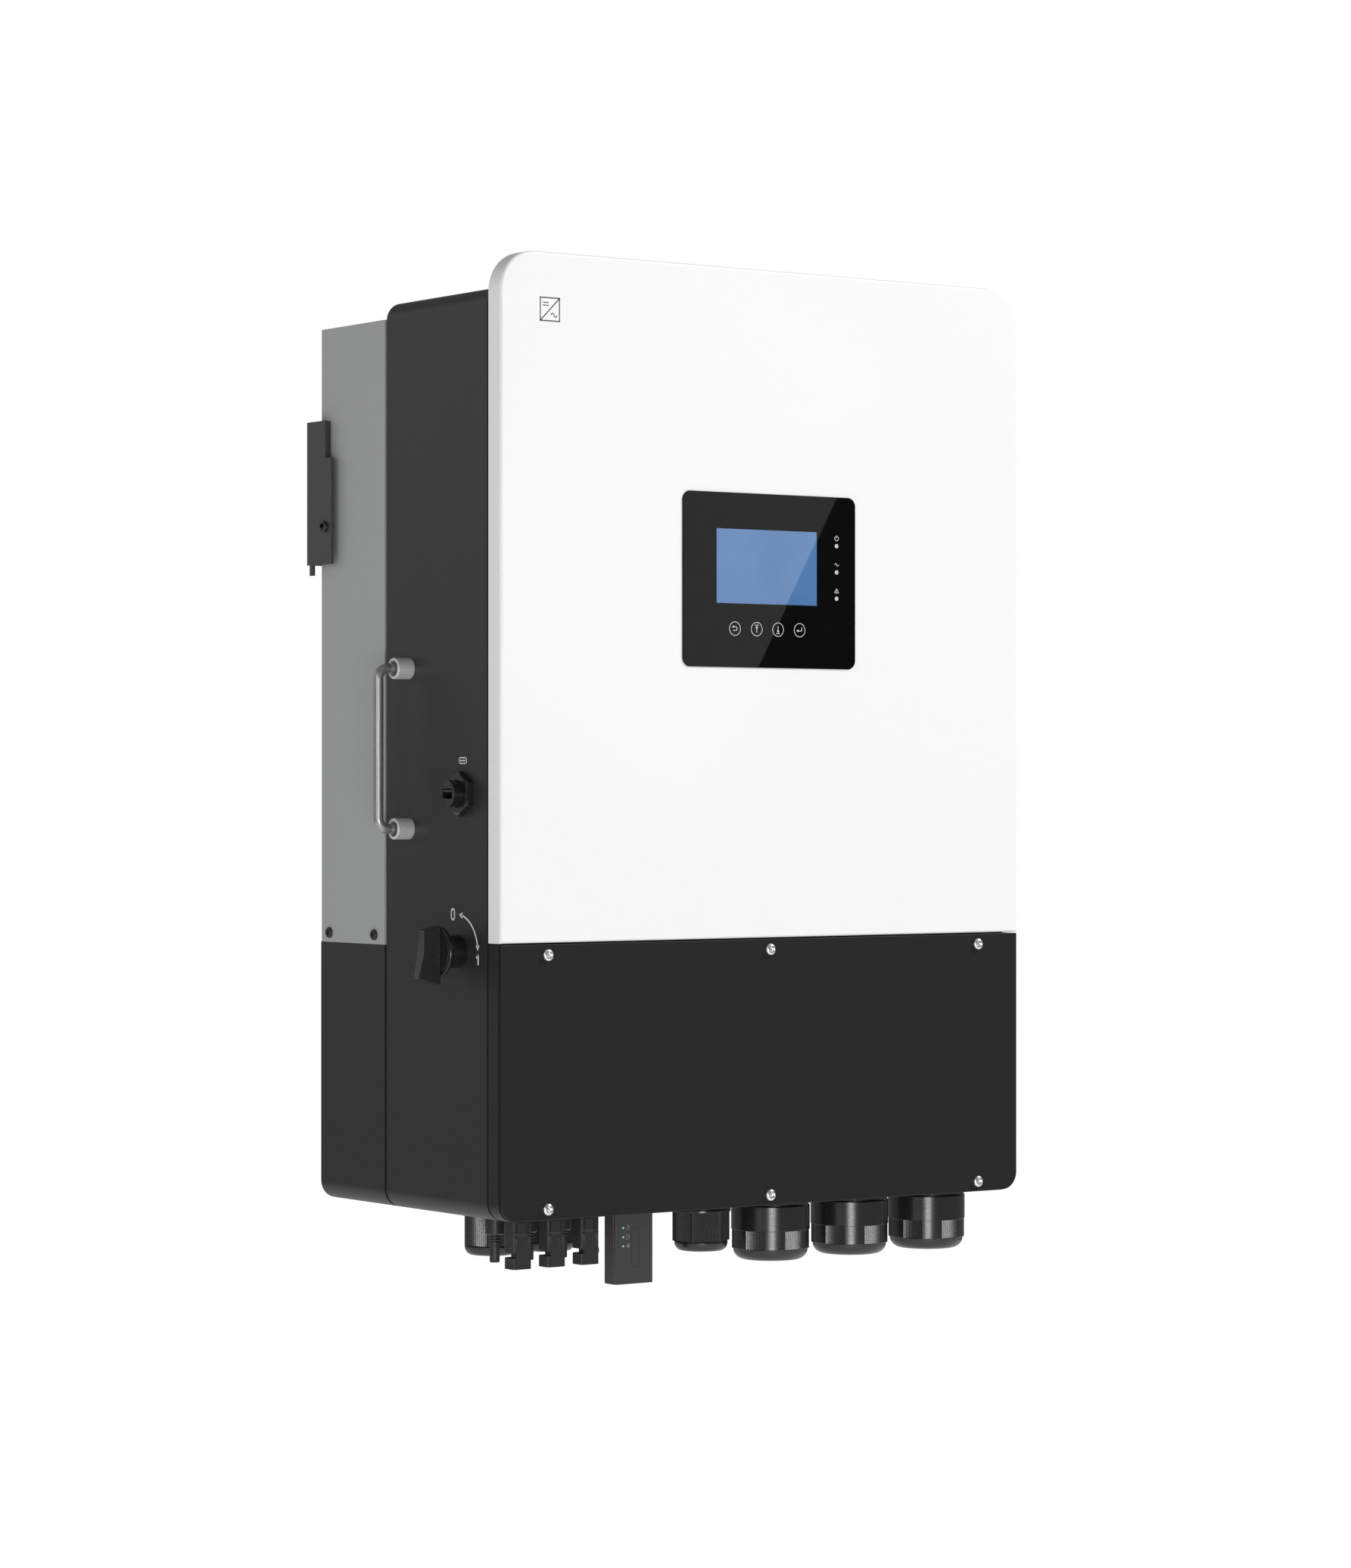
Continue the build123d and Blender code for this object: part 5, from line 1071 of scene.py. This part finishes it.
carriedFinishes = {
    "front_gasket": "sealingRubber", "wiring_gasket": "sealingRubber", "gland_seals": "sealingRubber",
    "lcd_module": "lcdBlue", "led_indicators": "lampLens", "display_board": "boardLaminate",
    "partition_plate": "sheetSteel", "heat_sink": "bareAluminium", "choke_cores": "coreIron",
    "choke_windings": "copperWire", "power_modules": "modulePlastic", "power_board": "boardLaminate",
    "board_standoffs": "sheetSteel", "dc_link_capacitors": "capacitorSleeve",
    "relays": "modulePlastic", "control_board": "boardLaminate",
    "ac_terminal_blocks": "terminalPlastic", "battery_terminals": "terminalBrass",
    "earth_bar": "terminalBrass", "comms_board": "boardLaminate", "dc_switch_body": "modulePlastic",
    "dc_switch_shaft": "satinSteel", "handle_nuts": "zincPlate", "gland_locknuts": "glandNylon",
    "solar_nuts": "connectorNylon", "stick_plug": "stickPlastic",
}
for node, finish in carriedFinishes.items():
    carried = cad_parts[node]
    carried.data.materials.clear()
    carried.data.materials.append(materials[finish])

# stage, lights and camera

stageSettings = dict(floorDrop=1.9, floorRadius=5.4, floorGlow=0.3)
lightSettings = dict(
    skyLight=0.22, skySeen=1.0,
    rightFront=dict(place=(3.2, -2.5, 3.0), width=1.6, height=1.6, power=202),
    lowFront=dict(place=(-2.2, -3.9, -1.0), width=1.2, height=1.0, power=50),
    leftFront=dict(place=(-3.8, -1.5, 0.4), width=1.8, height=2.4, power=23),
    leftRear=dict(place=(-2.6, 3.0, 1.0), width=3.0, height=2.6, power=12),
    glassCard=dict(place=(1.762, -2.9, 0.21), turn=(90, 29.8, 0), width=0.55, height=0.8, power=2.9),
)
cameraSettings = dict(
    place=(-2.1527, -3.17, -0.243), turn=(90.0, 0.0, -35.47), lens=102.23, shiftY=0.0034,
)


def makeFloor():
    bm = bmesh.new()
    bmesh.ops.create_circle(bm, cap_ends=True, segments=128, radius=stageSettings["floorRadius"])
    bmesh.ops.translate(bm, vec=(0, 0, -stageSettings["floorDrop"]), verts=bm.verts[:])
    mesh = bpy.data.meshes.new("floor")
    bm.to_mesh(mesh)
    bm.free()
    floor = bpy.data.objects.new("floor", mesh)
    bpy.context.scene.collection.objects.link(floor)
    material, shader = newMaterial("paleFloor")
    shader.inputs["Base Color"].default_value = (0.85, 0.85, 0.85, 1)
    shader.inputs["Roughness"].default_value = 0.9
    shader.inputs["Emission Color"].default_value = (1, 1, 1, 1)
    shader.inputs["Emission Strength"].default_value = stageSettings["floorGlow"]
    mesh.materials.append(material)


def makeSky():
    world = bpy.data.worlds.new("studio")
    world.use_nodes = True
    bpy.context.scene.world = world
    tree = world.node_tree
    background = tree.nodes["Background"]
    background.inputs["Color"].default_value = (1, 1, 1, 1)
    path = tree.nodes.new("ShaderNodeLightPath")
    level = tree.nodes.new("ShaderNodeMapRange")
    level.inputs["To Min"].default_value = lightSettings["skyLight"]
    level.inputs["To Max"].default_value = lightSettings["skySeen"]
    tree.links.new(path.outputs["Is Camera Ray"], level.inputs["Value"])
    tree.links.new(level.outputs["Result"], background.inputs["Strength"])


def addLight(name):
    settings = lightSettings[name]
    lamp = bpy.data.lights.new(name, "AREA")
    lamp.shape = "RECTANGLE"
    lamp.size = settings["width"]
    lamp.size_y = settings["height"]
    lamp.energy = settings["power"]
    light = bpy.data.objects.new(name, lamp)
    light.location = settings["place"]
    if "turn" in settings:
        light.rotation_euler = [math.radians(angle) for angle in settings["turn"]]
    else:
        towards = Vector((0, -0.15, -0.2)) - Vector(settings["place"])
        light.rotation_euler = towards.to_track_quat("-Z", "Y").to_euler()
    bpy.context.scene.collection.objects.link(light)


def addCamera():
    lens = bpy.data.cameras.new("camera")
    lens.lens = cameraSettings["lens"]
    lens.sensor_width = 36
    lens.shift_y = cameraSettings["shiftY"]
    lens.clip_end = 60
    camera = bpy.data.objects.new("camera", lens)
    camera.location = cameraSettings["place"]
    camera.rotation_euler = [math.radians(angle) for angle in cameraSettings["turn"]]
    bpy.context.scene.collection.objects.link(camera)
    bpy.context.scene.camera = camera


makeFloor()
makeSky()
for name in ("rightFront", "lowFront", "leftFront", "leftRear", "glassCard"):
    addLight(name)
addCamera()
bpy.context.scene.view_settings.view_transform = "Standard"
